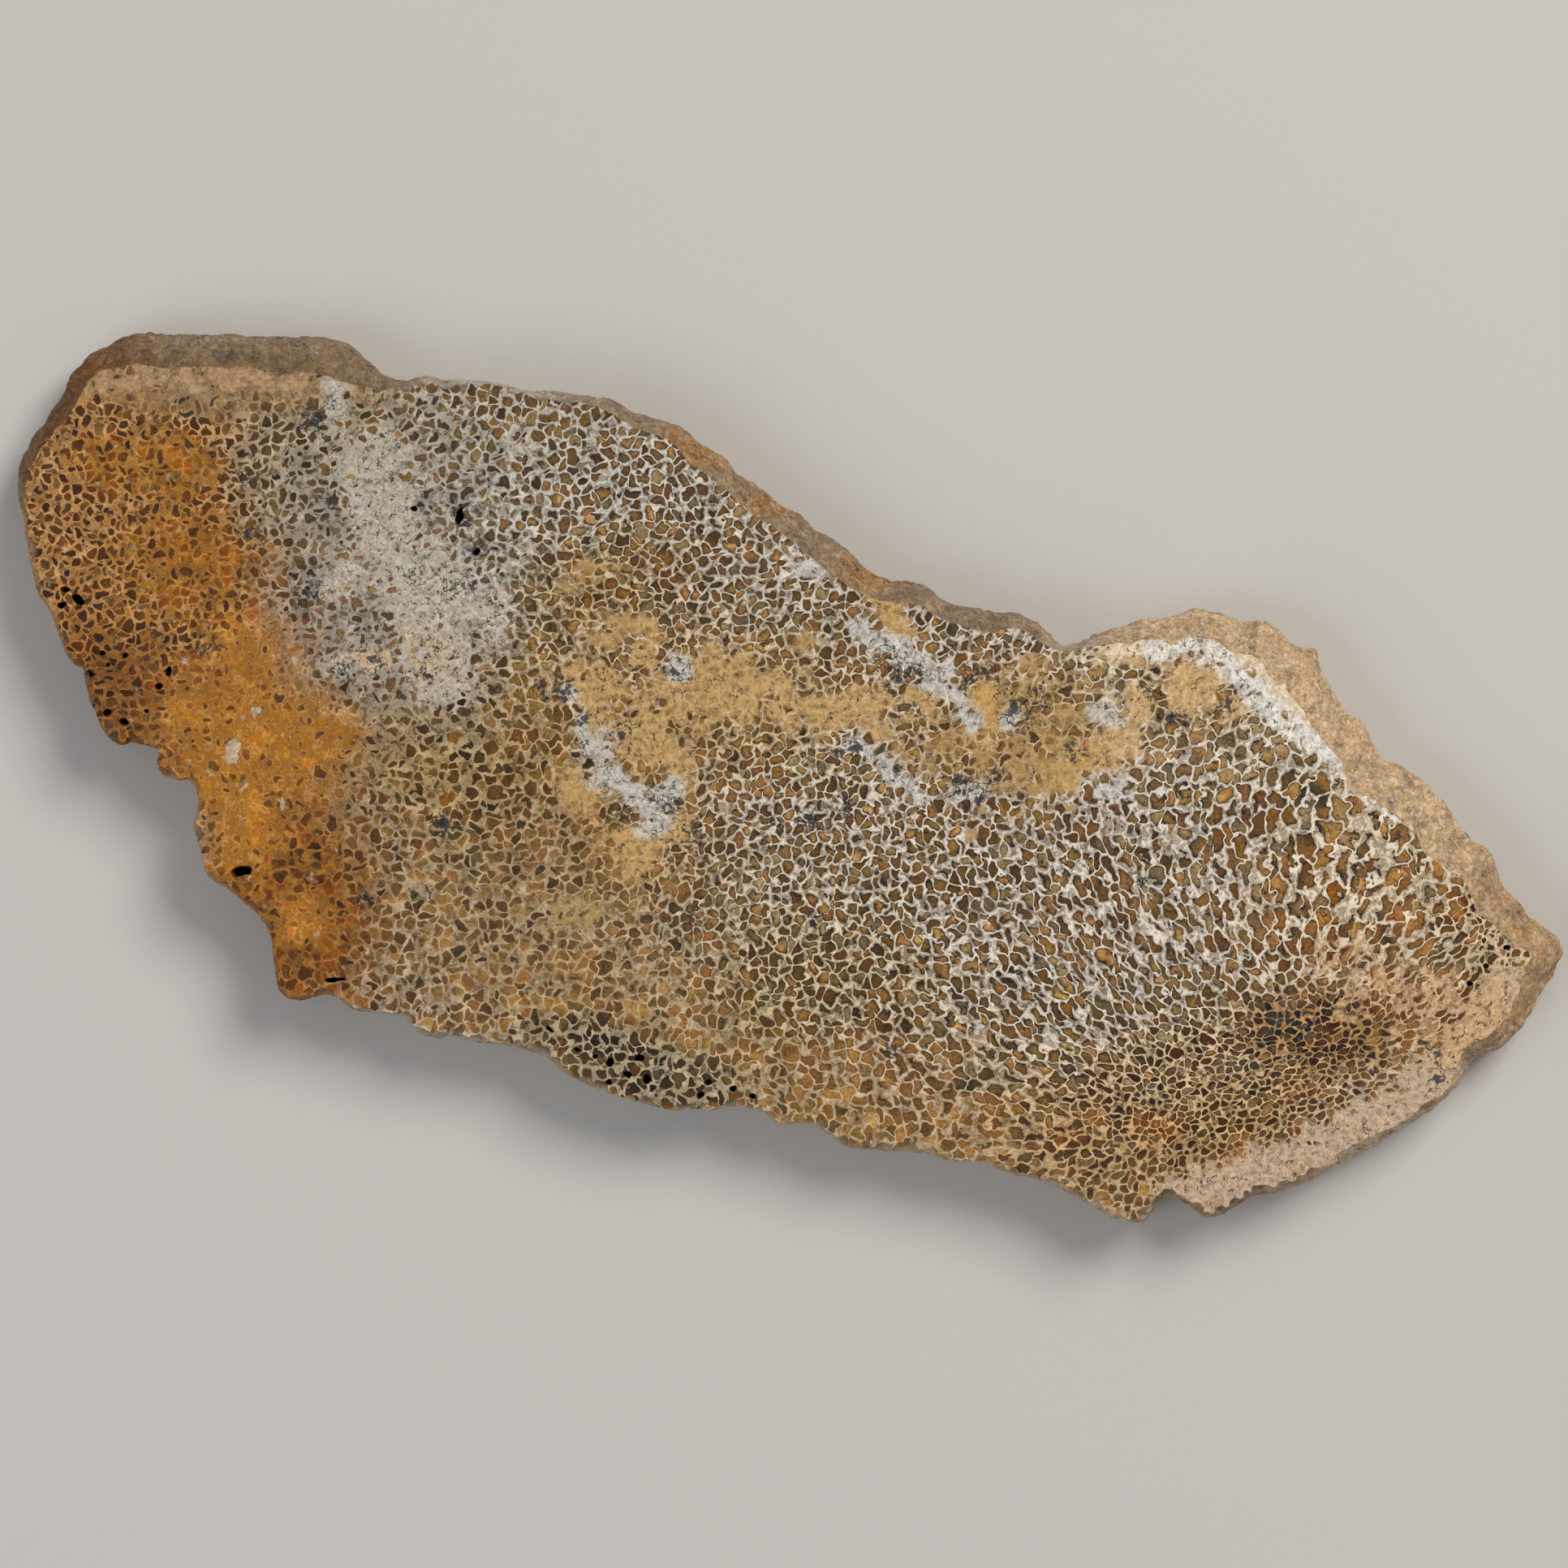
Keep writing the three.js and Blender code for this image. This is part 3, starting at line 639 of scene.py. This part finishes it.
closed = np.maximum.reduce([ochre, white, core, peach, streak, cortex])
np.maximum(dendrites, 0.3 * closed, out=dendrites)
np.maximum(lined, patch(26, -6, 40, 26, soft=0.35), out=lined)
np.maximum(lined, 0.85 * patch(-10, 20, 26, 15, soft=0.5), out=lined)
lined *= 1 - np.maximum(0.45 * wash, 0.85 * nest)

# ---- The slab: its cells ----
# Marrow cells are 1.5 mm across on average: finer in the west and along the south-east edge,
# twice as wide near the east end, and drawn out on a slant in the lower middle.

CELL = 1.08  # mm; the smallest cells close up, so the open ones lie wider apart
UNDERSIDE_SHIFT = 61.3  # cells, so that the lower face doesn't repeat the upper one


def cell_places(points):
    """Places counted in cells, so that a step of 1 is one average cell everywhere."""
    swells = (
        # x, y, reach, growth of the count, slant in degrees or None for all ways alike
        (-62, 20, 14, 0.12, None),
        (51, -5, 11, -0.48, None),
        (36, -31, 9, 0.5, None),
        (50, -26, 7, 0.55, None),
        (65, -14, 4, 0.45, None),
        (20, -20, 16, -0.22, -50),
        (-28, 5, 8, -0.15, None),
        (36, 8, 8, -0.2, None),
        (33, -7, 9, -0.2, None),
    )
    counted = points[:, :2].copy()
    for x, y, reach, growth, slant in swells:
        apart = points[:, :2] - np.array([x, y])
        fade = np.exp(-(apart**2).sum(axis=1) / (2 * reach**2))[:, None]
        if slant is not None:
            way = np.array([math.cos(math.radians(slant)), math.sin(math.radians(slant))])
            apart = (apart @ way)[:, None] * way
        counted += growth * fade * apart
    depth = 1 - points[:, 2:] / THICKNESS
    return np.column_stack([counted / CELL + UNDERSIDE_SHIFT * depth, depth])


def keep(name, kind, values, domain="POINT"):
    """Stores values on the slab's mesh for its material."""
    made = slab_mesh.attributes.new(name, kind, domain)
    field = {"FLOAT": "value", "FLOAT_VECTOR": "vector", "FLOAT_COLOR": "color"}[kind]
    made.data.foreach_set(field, np.ascontiguousarray(values, dtype=np.float32).reshape(-1))


def on_walls(values):
    """Point values as corner values, with noughts on the sawn faces."""
    return np.where(is_wall[:, None], values[triangles], 0.0)


def charted():
    """Each corner's place in mm as if the faces and the wall were laid flat beside each other."""
    corners = points[triangles]
    across = np.cross(corners[:, 1] - corners[:, 0], corners[:, 2] - corners[:, 0])
    chart = corners.copy()
    chart[:, :, 1] += LOW_CHART * (across[:, 2:] < 0)
    round_edge = for_all(along)[triangles]
    over_seam = (np.ptp(round_edge, axis=1) > PERIMETER / 2)[:, None] & (round_edge < PERIMETER / 2)
    unrolled = np.stack([round_edge + PERIMETER * over_seam + WALL_CHART, corners[:, :, 2]], axis=2)
    steep = np.abs(across[:, 2]) < GENTLE * np.linalg.norm(across, axis=1)
    chart[outer_wall & steep, :, :2] = unrolled[outer_wall & steep]
    chart[:, :, 2] = 0
    return chart


def eased(chart):
    """The chart with the wall's pinched triangles, at sharp corners, laid out by x or y."""
    corners = points[triangles]
    across = np.abs(np.cross(corners[:, 1] - corners[:, 0], corners[:, 2] - corners[:, 0]))
    length = np.linalg.norm(np.ptp(corners[:, :, :2], axis=1), axis=1)
    on_strip = chart[:, :, 0].min(axis=1) > WALL_CHART / 2
    pinched = on_strip & (np.ptp(chart[:, :, 0], axis=1) < PINCHED * length)
    by_side = np.where((across[:, 0] > across[:, 1])[:, None], corners[:, :, 1], corners[:, :, 0])
    laid = chart.copy()
    laid[pinched, :, 0] = 2 * WALL_CHART + by_side[pinched]
    return laid


def map_places(chart):
    """Each corner's place on a square map of the slab's colours, from 0 to 1: the upper face
    along the top, the lower face and the open cells at the left, the wall in strips at the right."""
    x, y = chart[:, :, 0], chart[:, :, 1]
    on_strip = x.min(axis=1) > WALL_CHART / 2
    low = y.min(axis=1) > LOW_CHART / 2
    strip = ((x.min(axis=1) - WALL_CHART) // STRIP)[:, None]
    west, south = MAP_CORNER
    place = np.stack([MARGIN + FINE * (x - west), LOWER_PART + FINE * (y - south)], axis=2)
    lower = np.stack([MARGIN + COARSE * (x - west), MARGIN + COARSE * (y - LOW_CHART - south)], axis=2)
    z = points[triangles][:, :, 2]
    cells = np.stack([MARGIN + COARSE * (x - west), CELL_PART + FINE * z], axis=2)
    along_strip = STRIP_PART + FINE * (x - WALL_CHART - strip * STRIP)
    strips = np.stack([along_strip, MARGIN + STRIP_STEP * strip + STRIP_TALL * y], axis=2)
    place[low] = lower[low]
    place[in_hole] = cells[in_hole]
    place[on_strip] = strips[on_strip]
    return place / MAP_SIZE


LOW_CHART = 150.0  # mm from one chart to the next
WALL_CHART = 300.0
GENTLE = 0.55  # a wall that lies flatter than this is laid flat with the face above or below it
PINCHED = 0.5
MAP_SIZE = 1024  # pixels, the map's side, for the sizes below
MAP_CORNER = (-72.6, -41.8)  # mm
FINE, COARSE, STRIP_TALL = 7.0, 4.1, 6.0  # pixels per mm
MARGIN, CELL_PART, LOWER_PART, STRIP_PART = 6, 362, 436, 618
STRIP = 54  # mm of wall in one strip
STRIP_STEP = 53
in_hole = is_wall & for_all(in_cell.astype(float))[triangles].any(axis=1)
outer_wall = is_wall & ~in_hole
CELL_SHADE_DEPTH = 1.6  # mm down an open cell at which its painted shade is darkest
# Painted shade in the open cells, darker the further down from the upper face.
painted_cell_shade = for_all(in_cell * ramp(THICKNESS - points[:wall_count, 2], 0.1, CELL_SHADE_DEPTH))
chart = charted()
keep("chart", "FLOAT_VECTOR", eased(chart), "CORNER")
colour_map = slab_mesh.uv_layers.new(name="OFBake")
colour_map.data.foreach_set("uv", map_places(chart).astype(np.float32).ravel())
keep("cell_place", "FLOAT_VECTOR", cell_places(points))
keep("bone_tint", "FLOAT_COLOR", bone_tint)
keep("fill_tint", "FLOAT_COLOR", fill_tint)
keep("crust_tint", "FLOAT_COLOR", crust_tint)
keep("clay_tint", "FLOAT_COLOR", clay_tint)
keep("clay", "FLOAT", clay)
keep("dense", "FLOAT", dense)
keep("dendrites", "FLOAT", dendrites)
keep("lined", "FLOAT", lined)
# The painted shade of the open cells.
keep("painted_cell_shade", "FLOAT", painted_cell_shade)
keep("crust", "FLOAT", on_walls(for_all(natural)), "CORNER")
keep("broken", "FLOAT", on_walls(for_all(np.where(in_cell, 0, 1 - natural))), "CORNER")
keep("pit", "FLOAT", for_all(pit))

# ---- The slab: agatized bone ----
# Bone and chalcedony, sawn and lightly smoothed: satin, not polished. Bone walls are chalky
# and pale; the agate in the cells is darker, a little glossier, and banded from the wall in.


def add_node(tree, kind, inputs, out=0, **settings):
    """Adds a shader node with its settings, sets or links its inputs, and gives an output."""
    node = tree.nodes.new("ShaderNode" + kind)
    for name, value in settings.items():
        setattr(node, name, value)
    for name, value in inputs.items():
        if isinstance(value, bpy.types.NodeSocket):
            tree.links.new(value, node.inputs[name])
        else:
            node.inputs[name].default_value = value
    return node.outputs[out]


# Inputs go by number: 0 times 1, plus 2, in a Math node that multiplies and adds. A MapRange
# node gives nothing where 0 is at the value of 1, and all, or what 4 says, where it is at 2.
TIMES = {"operation": "MULTIPLY"}
TIMES_PLUS = {"operation": "MULTIPLY_ADD"}
A, B = 6, 7  # the colour inputs of a Mix node
COLOUR = 2  # and its colour output
RGBA = {"data_type": "RGBA"}
FLAT = {"noise_dimensions": "2D"}
SOFT = {"interpolation_type": "SMOOTHSTEP"}

stone, stone_shader = new_material("agatized_bone_sawn")
tree = stone.node_tree
slab_mesh.materials.append(stone)
kept = {}
for name, out in (
    ("chart", "Vector"), ("cell_place", "Vector"), ("bone_tint", "Color"), ("fill_tint", "Color"),
    ("crust_tint", "Color"), ("clay_tint", "Color"), ("clay", "Fac"), ("dense", "Fac"),
    ("dendrites", "Fac"), ("lined", "Fac"), ("painted_cell_shade", "Fac"), ("crust", "Fac"), ("broken", "Fac"),
    ("pit", "Fac"),
):
    kept[name] = add_node(tree, "Attribute", {}, out, attribute_name=name)

# Noise of several pitches, with its scale in lumps per mm.
MM_PLACE = {"Vector": kept["chart"]}
NOISE_MEAN = 0.5
DRIFTS = {"Scale": 0.45, "Detail": 1.0}  # lumps about 2.2 mm across
RAGS = {"Scale": 0.6, "Detail": 4.0, "Roughness": 0.65}  # 1.7 mm, with finer ones on them
CLOTS = {"Scale": 1.3, "Detail": 2.0, "Roughness": 0.6}  # 0.8 mm
GRAIN = {"Scale": 3.4, "Detail": 2.0, "Roughness": 0.65}  # 0.3 mm; real grain is too fine to show
drifts = add_node(tree, "TexNoise", MM_PLACE | DRIFTS, **FLAT)
rags = add_node(tree, "TexNoise", MM_PLACE | RAGS, **FLAT)
clots = add_node(tree, "TexNoise", MM_PLACE | CLOTS, **FLAT)
grain = add_node(tree, "TexNoise", MM_PLACE | GRAIN, **FLAT)

# Where clay or silica closed the cells: ragged at its edge, where the cells shrink first.
CLAY_RAGS = 2.2
CLAY_EDGE = {1: 1.42, 2: 1.78, 4: 0.93}
CLAY_NEAR = {1: 1.25, 2: 1.6, 4: 0.45}  # where the cells begin to shrink, and by how much
clay_lift = add_node(tree, "Math", {0: rags, 1: CLAY_RAGS, 2: kept["clay"]}, **TIMES_PLUS)
clay_mask = add_node(tree, "MapRange", {0: clay_lift} | CLAY_EDGE, **SOFT)
clay_near = add_node(tree, "MapRange", {0: clay_lift} | CLAY_NEAR)

# The cells: how far each spot lies from the wall between two cells, counted in cells, and how
# deep it lies in a cell whose corners are rounded.
ROUNDING = 0.75
UNEVENNESS = 0.9
BENDING = 1.2  # cells from one end of the noise's swing to the other
BENDS = {"Scale": 0.8, "Detail": 1.0, "Roughness": 0.4}
WALL_WIDTH = 0.35  # cells, before the noise thins it
WALL_DENSE = 0.9  # cells more where the bone is dense
WALL_DRIFTS, WALL_GRAIN = -0.6, -0.4
WALL_EDGE = {1: 0.07, 2: -0.05}
bend = add_node(tree, "TexNoise", MM_PLACE | BENDS, "Color", **FLAT)
bend = add_node(tree, "VectorMath", {0: bend, 1: [NOISE_MEAN] * 3}, operation="SUBTRACT")
bend = add_node(tree, "VectorMath", {0: bend, "Scale": BENDING}, operation="SCALE")
cells_at = add_node(tree, "VectorMath", {0: kept["cell_place"], 1: bend}, operation="ADD")
seeds = {"Vector": cells_at, "Scale": 1.0, "Randomness": UNEVENNESS}
cell = add_node(tree, "TexVoronoi", seeds, "Distance", feature="F1", voronoi_dimensions="2D")
cell_dice = add_node(tree, "SeparateColor", {0: cell.node.outputs["Color"]}).node.outputs
next_cell = add_node(tree, "TexVoronoi", seeds, "Distance", feature="F2", voronoi_dimensions="2D")
off_wall = add_node(tree, "Math", {0: next_cell, 1: cell}, operation="SUBTRACT")
deep = add_node(tree, "Math", {0: cell, 1: -ROUNDING, 2: off_wall}, **TIMES_PLUS)
brink = add_node(tree, "Math", {0: kept["dense"], 1: WALL_DENSE, 2: WALL_WIDTH}, **TIMES_PLUS)
brink = add_node(tree, "Math", {0: drifts, 1: WALL_DRIFTS, 2: brink}, **TIMES_PLUS)
brink = add_node(tree, "Math", {0: grain, 1: WALL_GRAIN, 2: brink}, **TIMES_PLUS)
brink = add_node(tree, "Math", {0: brink, 1: clay_near}, operation="ADD")
edge = add_node(tree, "Math", {0: deep, 1: brink}, operation="SUBTRACT")
wall = add_node(tree, "MapRange", {0: edge} | WALL_EDGE, **SOFT)

# The agate: each cell its own brown. Where cells are lined it is pale in the middle and dark
# at the wall, and elsewhere the other way round. Some cells hold ochre clay.
# What goes by the lining has first what the lining adds, then the value without it.
OCHRE = linear("#b08a54")
CLEAR = linear("#9c8a6c")  # chalcedony with little iron
CLEAR_BY_LINING = {1: 0.4, 2: 0.1}
SLANT_BY_LINING = {1: -1.2, 2: 0.5}
CENTRE_BY_LINING = {1: 0.5, 2: 0.6}
VARIETY_BY_LINING = {1: -1.0, 2: 1.8}
GOLDEN_BY_LINING = {1: 0.85, 2: 0.15}
DARKEST = 0.5  # value of the darkest cells, before bands and clouds
CLOUD_DRIFTS, CLOUD_GRAIN, CLOUD_LEVEL = 1.8, 2.0, -0.9
HUE_SPREAD, LEAST_HUE = 0.02, 0.486
OCHRE_FROM = {1: 0.3, 2: 1.0}
OCHRE_MIDDLE = {1: 0.5, 2: 0.15}
CLEAR_FROM = {1: 0.76, 2: 0.95}
AGATE_SATURATION = 1.05
clear_share = add_node(tree, "Math", {0: kept["lined"]} | CLEAR_BY_LINING, **TIMES_PLUS)
slant = add_node(tree, "Math", {0: kept["lined"]} | SLANT_BY_LINING, **TIMES_PLUS)
centre = add_node(tree, "Math", {0: kept["lined"]} | CENTRE_BY_LINING, **TIMES_PLUS)
inward = add_node(tree, "Math", {0: cell, 1: slant, 2: centre}, **TIMES_PLUS)
variety = add_node(tree, "Math", {0: kept["lined"]} | VARIETY_BY_LINING, **TIMES_PLUS)
shade = add_node(tree, "Math", {0: cell_dice[1], 1: variety, 2: DARKEST}, **TIMES_PLUS)
cloud = add_node(tree, "Math", {0: drifts, 1: CLOUD_DRIFTS, 2: CLOUD_LEVEL}, **TIMES_PLUS)
cloud = add_node(tree, "Math", {0: grain, 1: CLOUD_GRAIN, 2: cloud}, **TIMES_PLUS)
shade = add_node(tree, "Math", {0: shade, 1: inward}, **TIMES)
shade = add_node(tree, "Math", {0: shade, 1: cloud}, **TIMES)
hue = add_node(tree, "Math", {0: cell_dice[2], 1: HUE_SPREAD, 2: LEAST_HUE}, **TIMES_PLUS)
golden = add_node(tree, "Math", {0: kept["lined"]} | GOLDEN_BY_LINING, **TIMES_PLUS)
ochre_cells = add_node(tree, "MapRange", {0: cell_dice[0], 4: golden} | OCHRE_FROM)
middles = add_node(tree, "MapRange", {0: cell} | OCHRE_MIDDLE, **SOFT)
ochre_cells = add_node(tree, "Math", {0: ochre_cells, 1: middles}, **TIMES)
agate = add_node(tree, "Mix", {0: ochre_cells, A: kept["fill_tint"], B: OCHRE}, COLOUR, **RGBA)
clear_cells = add_node(tree, "MapRange", {0: cell_dice[2], 4: clear_share} | CLEAR_FROM, **SOFT)
agate = add_node(tree, "Mix", {0: clear_cells, A: agate, B: CLEAR}, COLOUR, **RGBA)
agate_tone = {"Hue": hue, "Saturation": AGATE_SATURATION, "Value": shade, "Color": agate}
agate = add_node(tree, "HueSaturation", agate_tone)

# The dark line of manganese between agate and wall.
MANGANESE = linear("#1f1a14")
LINE_EDGE = {1: 0.34, 2: 0.1}
LINE_RUNS = {1: 0.38, 2: 0.54}
line = add_node(tree, "MapRange", {0: edge} | LINE_EDGE, **SOFT)
runs = add_node(tree, "MapRange", {0: clots} | LINE_RUNS, **SOFT)
line = add_node(tree, "Math", {0: line, 1: runs}, **TIMES)
line = add_node(tree, "Math", {0: line, 1: kept["lined"]}, **TIMES)
agate = add_node(tree, "Mix", {0: line, A: agate, B: MANGANESE}, COLOUR, **RGBA)

# The bone walls: brightest along their middle, with specks of agate where they are thick.
CHALK = linear("#ece6dc")
CREST_EDGE = {1: 0.16, 2: 0.04}
SHARP_BY_LINING = {1: 0.5, 2: 0.5}
CHALKY_BY_LINING = {1: 0.45, 2: 0.05}
BODY_BY_SHARPNESS = {1: -0.25, 2: 0.27}
BONE_CREST, BONE_GRAIN, BONE_DRIFTS = 0.45, 0.75, 0.7
BONE_SATURATION = 1.1
SPECK_EDGE = {1: 0.53, 2: 0.61, 4: 0.8}
THICK_EDGE = {1: -0.12, 2: -0.26}
SOAK_INWARD = -0.5
SOAK_EDGE = {1: 0.5, 2: 0.72}
SOAKED_TONE = {"Hue": 0.494, "Saturation": 1.2, "Value": 0.7}
crest = add_node(tree, "MapRange", {0: off_wall} | CREST_EDGE, **SOFT)
sharp = add_node(tree, "Math", {0: kept["lined"]} | SHARP_BY_LINING, **TIMES_PLUS)
crest = add_node(tree, "Math", {0: crest, 1: sharp}, **TIMES)
body = add_node(tree, "Math", {0: sharp} | BODY_BY_SHARPNESS, **TIMES_PLUS)
bone = add_node(tree, "Mix", {0: crest, A: kept["bone_tint"], B: CHALK}, COLOUR, **RGBA)
chalky = add_node(tree, "Math", {0: kept["lined"]} | CHALKY_BY_LINING, **TIMES_PLUS)
bone = add_node(tree, "Mix", {0: chalky, A: kept["bone_tint"], B: bone}, COLOUR, **RGBA)
bone_shade = add_node(tree, "Math", {0: crest, 1: BONE_CREST, 2: body}, **TIMES_PLUS)
bone_shade = add_node(tree, "Math", {0: grain, 1: BONE_GRAIN, 2: bone_shade}, **TIMES_PLUS)
bone_shade = add_node(tree, "Math", {0: drifts, 1: BONE_DRIFTS, 2: bone_shade}, **TIMES_PLUS)
bone_tone = {"Saturation": BONE_SATURATION, "Value": bone_shade, "Color": bone}
bone = add_node(tree, "HueSaturation", bone_tone)
specks = add_node(tree, "MapRange", {0: clots} | SPECK_EDGE, **SOFT)
thick = add_node(tree, "MapRange", {0: edge} | THICK_EDGE, **SOFT)
wall_specks = add_node(tree, "Math", {0: specks, 1: thick}, **TIMES)
soaked = add_node(tree, "Math", {0: edge, 1: SOAK_INWARD, 2: rags}, **TIMES_PLUS)
soaked = add_node(tree, "MapRange", {0: soaked} | SOAK_EDGE, **SOFT)
unlined = add_node(tree, "Math", {0: 1.0, 1: kept["lined"]}, operation="SUBTRACT")
soaked = add_node(tree, "Math", {0: soaked, 1: unlined}, **TIMES)
deeper = add_node(tree, "HueSaturation", {"Color": bone} | SOAKED_TONE)
bone = add_node(tree, "Mix", {0: soaked, A: bone, B: deeper}, COLOUR, **RGBA)
bone = add_node(tree, "Mix", {0: wall_specks, A: bone, B: kept["fill_tint"]}, COLOUR, **RGBA)
sawn_colour = add_node(tree, "Mix", {0: wall, A: agate, B: bone}, COLOUR, **RGBA)

# The clay, in which the cells still show faintly as ghosts, with brown specks.
GHOSTS = {1: -0.35, 2: 0.0}
CLAY_GRAIN, CLAY_CLOTS = 1.0, 1.2
CLAY_SATURATION = 1.03
CLAY_SPECKS = 0.45
ghosts = add_node(tree, "Math", {0: deep} | GHOSTS, **TIMES_PLUS)
clay_shade = add_node(tree, "Math", {0: grain, 1: CLAY_GRAIN, 2: ghosts}, **TIMES_PLUS)
clay_shade = add_node(tree, "Math", {0: clots, 1: CLAY_CLOTS, 2: clay_shade}, **TIMES_PLUS)
clay_tone = {"Saturation": CLAY_SATURATION, "Value": clay_shade, "Color": kept["clay_tint"]}
clay_colour = add_node(tree, "HueSaturation", clay_tone)
clay_specks = add_node(tree, "Math", {0: specks, 1: CLAY_SPECKS}, **TIMES)
speckled = {0: clay_specks, A: clay_colour, B: kept["fill_tint"]}
clay_colour = add_node(tree, "Mix", speckled, COLOUR, **RGBA)
sawn_colour = add_node(tree, "Mix", {0: clay_mask, A: sawn_colour, B: clay_colour}, COLOUR, **RGBA)

# Dendrites: blots and thin branching lines of blue-black manganese oxide.
DENDRITE = linear("#152330")
BRANCHES = {"Scale": 1.0, "Detail": 2.0, "Roughness": 0.55}
CRACK_GRAIN = -0.12
CRACK_EDGE = {1: -0.02, 2: -0.042}
SPREAD_CLOTS, SPREAD_RAGS = 0.8, 1.2
SPRAY_EDGE = {1: 1.2, 2: 1.5}
BLOT_EDGE = {1: 1.92, 2: 2.06}
INK_STRENGTH = 0.9
sprays = add_node(tree, "TexNoise", MM_PLACE | BRANCHES, **FLAT)
ridges = add_node(tree, "Math", {0: sprays, 1: NOISE_MEAN}, operation="SUBTRACT")
ridges = add_node(tree, "Math", {0: ridges}, operation="ABSOLUTE")
ridges = add_node(tree, "Math", {0: grain, 1: CRACK_GRAIN, 2: ridges}, **TIMES_PLUS)
cracks = add_node(tree, "MapRange", {0: ridges} | CRACK_EDGE, **SOFT)
spread = add_node(tree, "Math", {0: clots, 1: SPREAD_CLOTS, 2: kept["dendrites"]}, **TIMES_PLUS)
spread = add_node(tree, "Math", {0: rags, 1: SPREAD_RAGS, 2: spread}, **TIMES_PLUS)
near_spray = add_node(tree, "MapRange", {0: spread} | SPRAY_EDGE, **SOFT)
ridges = add_node(tree, "Math", {0: cracks, 1: near_spray}, **TIMES)
blots = add_node(tree, "MapRange", {0: spread} | BLOT_EDGE, **SOFT)
ink = add_node(tree, "Math", {0: ridges, 1: blots}, operation="MAXIMUM")
ink = add_node(tree, "Math", {0: ink, 1: INK_STRENGTH}, **TIMES)
sawn_colour = add_node(tree, "Mix", {0: ink, A: sawn_colour, B: DENDRITE}, COLOUR, **RGBA)

# The natural crust: mottled, paler in patches, with short dark cracks.
SCUFF_EDGE = {1: 0.46, 2: 0.6}
CRUST_GRAIN, CRUST_RAGS, CRUST_LEVEL = 1.1, 2.0, -0.6
SCUFF_PALER = 0.3
SCUFF_SATURATION = {1: -0.22, 2: 1.08}
CRUST_CRACKS = -0.5
scuffed = add_node(tree, "MapRange", {0: clots} | SCUFF_EDGE, **SOFT)
crust_shade = add_node(tree, "Math", {0: grain, 1: CRUST_GRAIN, 2: CRUST_LEVEL}, **TIMES_PLUS)
crust_shade = add_node(tree, "Math", {0: rags, 1: CRUST_RAGS, 2: crust_shade}, **TIMES_PLUS)
crust_shade = add_node(tree, "Math", {0: scuffed, 1: SCUFF_PALER, 2: crust_shade}, **TIMES_PLUS)
crust_depth = add_node(tree, "Math", {0: scuffed} | SCUFF_SATURATION, **TIMES_PLUS)
cracks = add_node(tree, "Math", {0: cracks, 1: runs}, **TIMES)
crust_shade = add_node(tree, "Math", {0: cracks, 1: CRUST_CRACKS, 2: crust_shade}, **TIMES_PLUS)
crust_tone = {"Saturation": crust_depth, "Value": crust_shade, "Color": kept["crust_tint"]}
crust = add_node(tree, "HueSaturation", crust_tone)
colour = add_node(tree, "Mix", {0: kept["crust"], A: sawn_colour, B: crust}, COLOUR, **RGBA)

# The break: pale crests of bone, dusty brown pits, and painted shade that goes near black down in the
# open cells.
# Near black: the colour of the painted shade deep in an open cell.
CELL_SHADE_COLOUR = linear("#150e08")
PIT_STRENGTH = 0.85
pit_depth = add_node(tree, "Math", {0: kept["pit"], 1: PIT_STRENGTH}, **TIMES)
break_colour = add_node(tree, "Mix", {0: pit_depth, A: bone, B: kept["fill_tint"]}, COLOUR, **RGBA)
colour = add_node(tree, "Mix", {0: kept["broken"], A: colour, B: break_colour}, COLOUR, **RGBA)
# Painted shade: the open cells darken to near black with depth.
colour = add_node(tree, "Mix", {0: kept["painted_cell_shade"], A: colour, B: CELL_SHADE_COLOUR}, COLOUR, **RGBA)
tree.links.new(colour, stone_shader.inputs["Base Color"])

# Roughness: satin agate, chalkier bone, matt crust.
AGATE_ROUGH, BONE_ROUGHER, CRUST_ROUGHER = 0.34, 0.2, 0.3
gloss = add_node(tree, "Math", {0: wall, 1: BONE_ROUGHER, 2: AGATE_ROUGH}, **TIMES_PLUS)
gloss = add_node(tree, "Math", {0: kept["crust"], 1: CRUST_ROUGHER, 2: gloss}, **TIMES_PLUS)
tree.links.new(gloss, stone_shader.inputs["Roughness"])
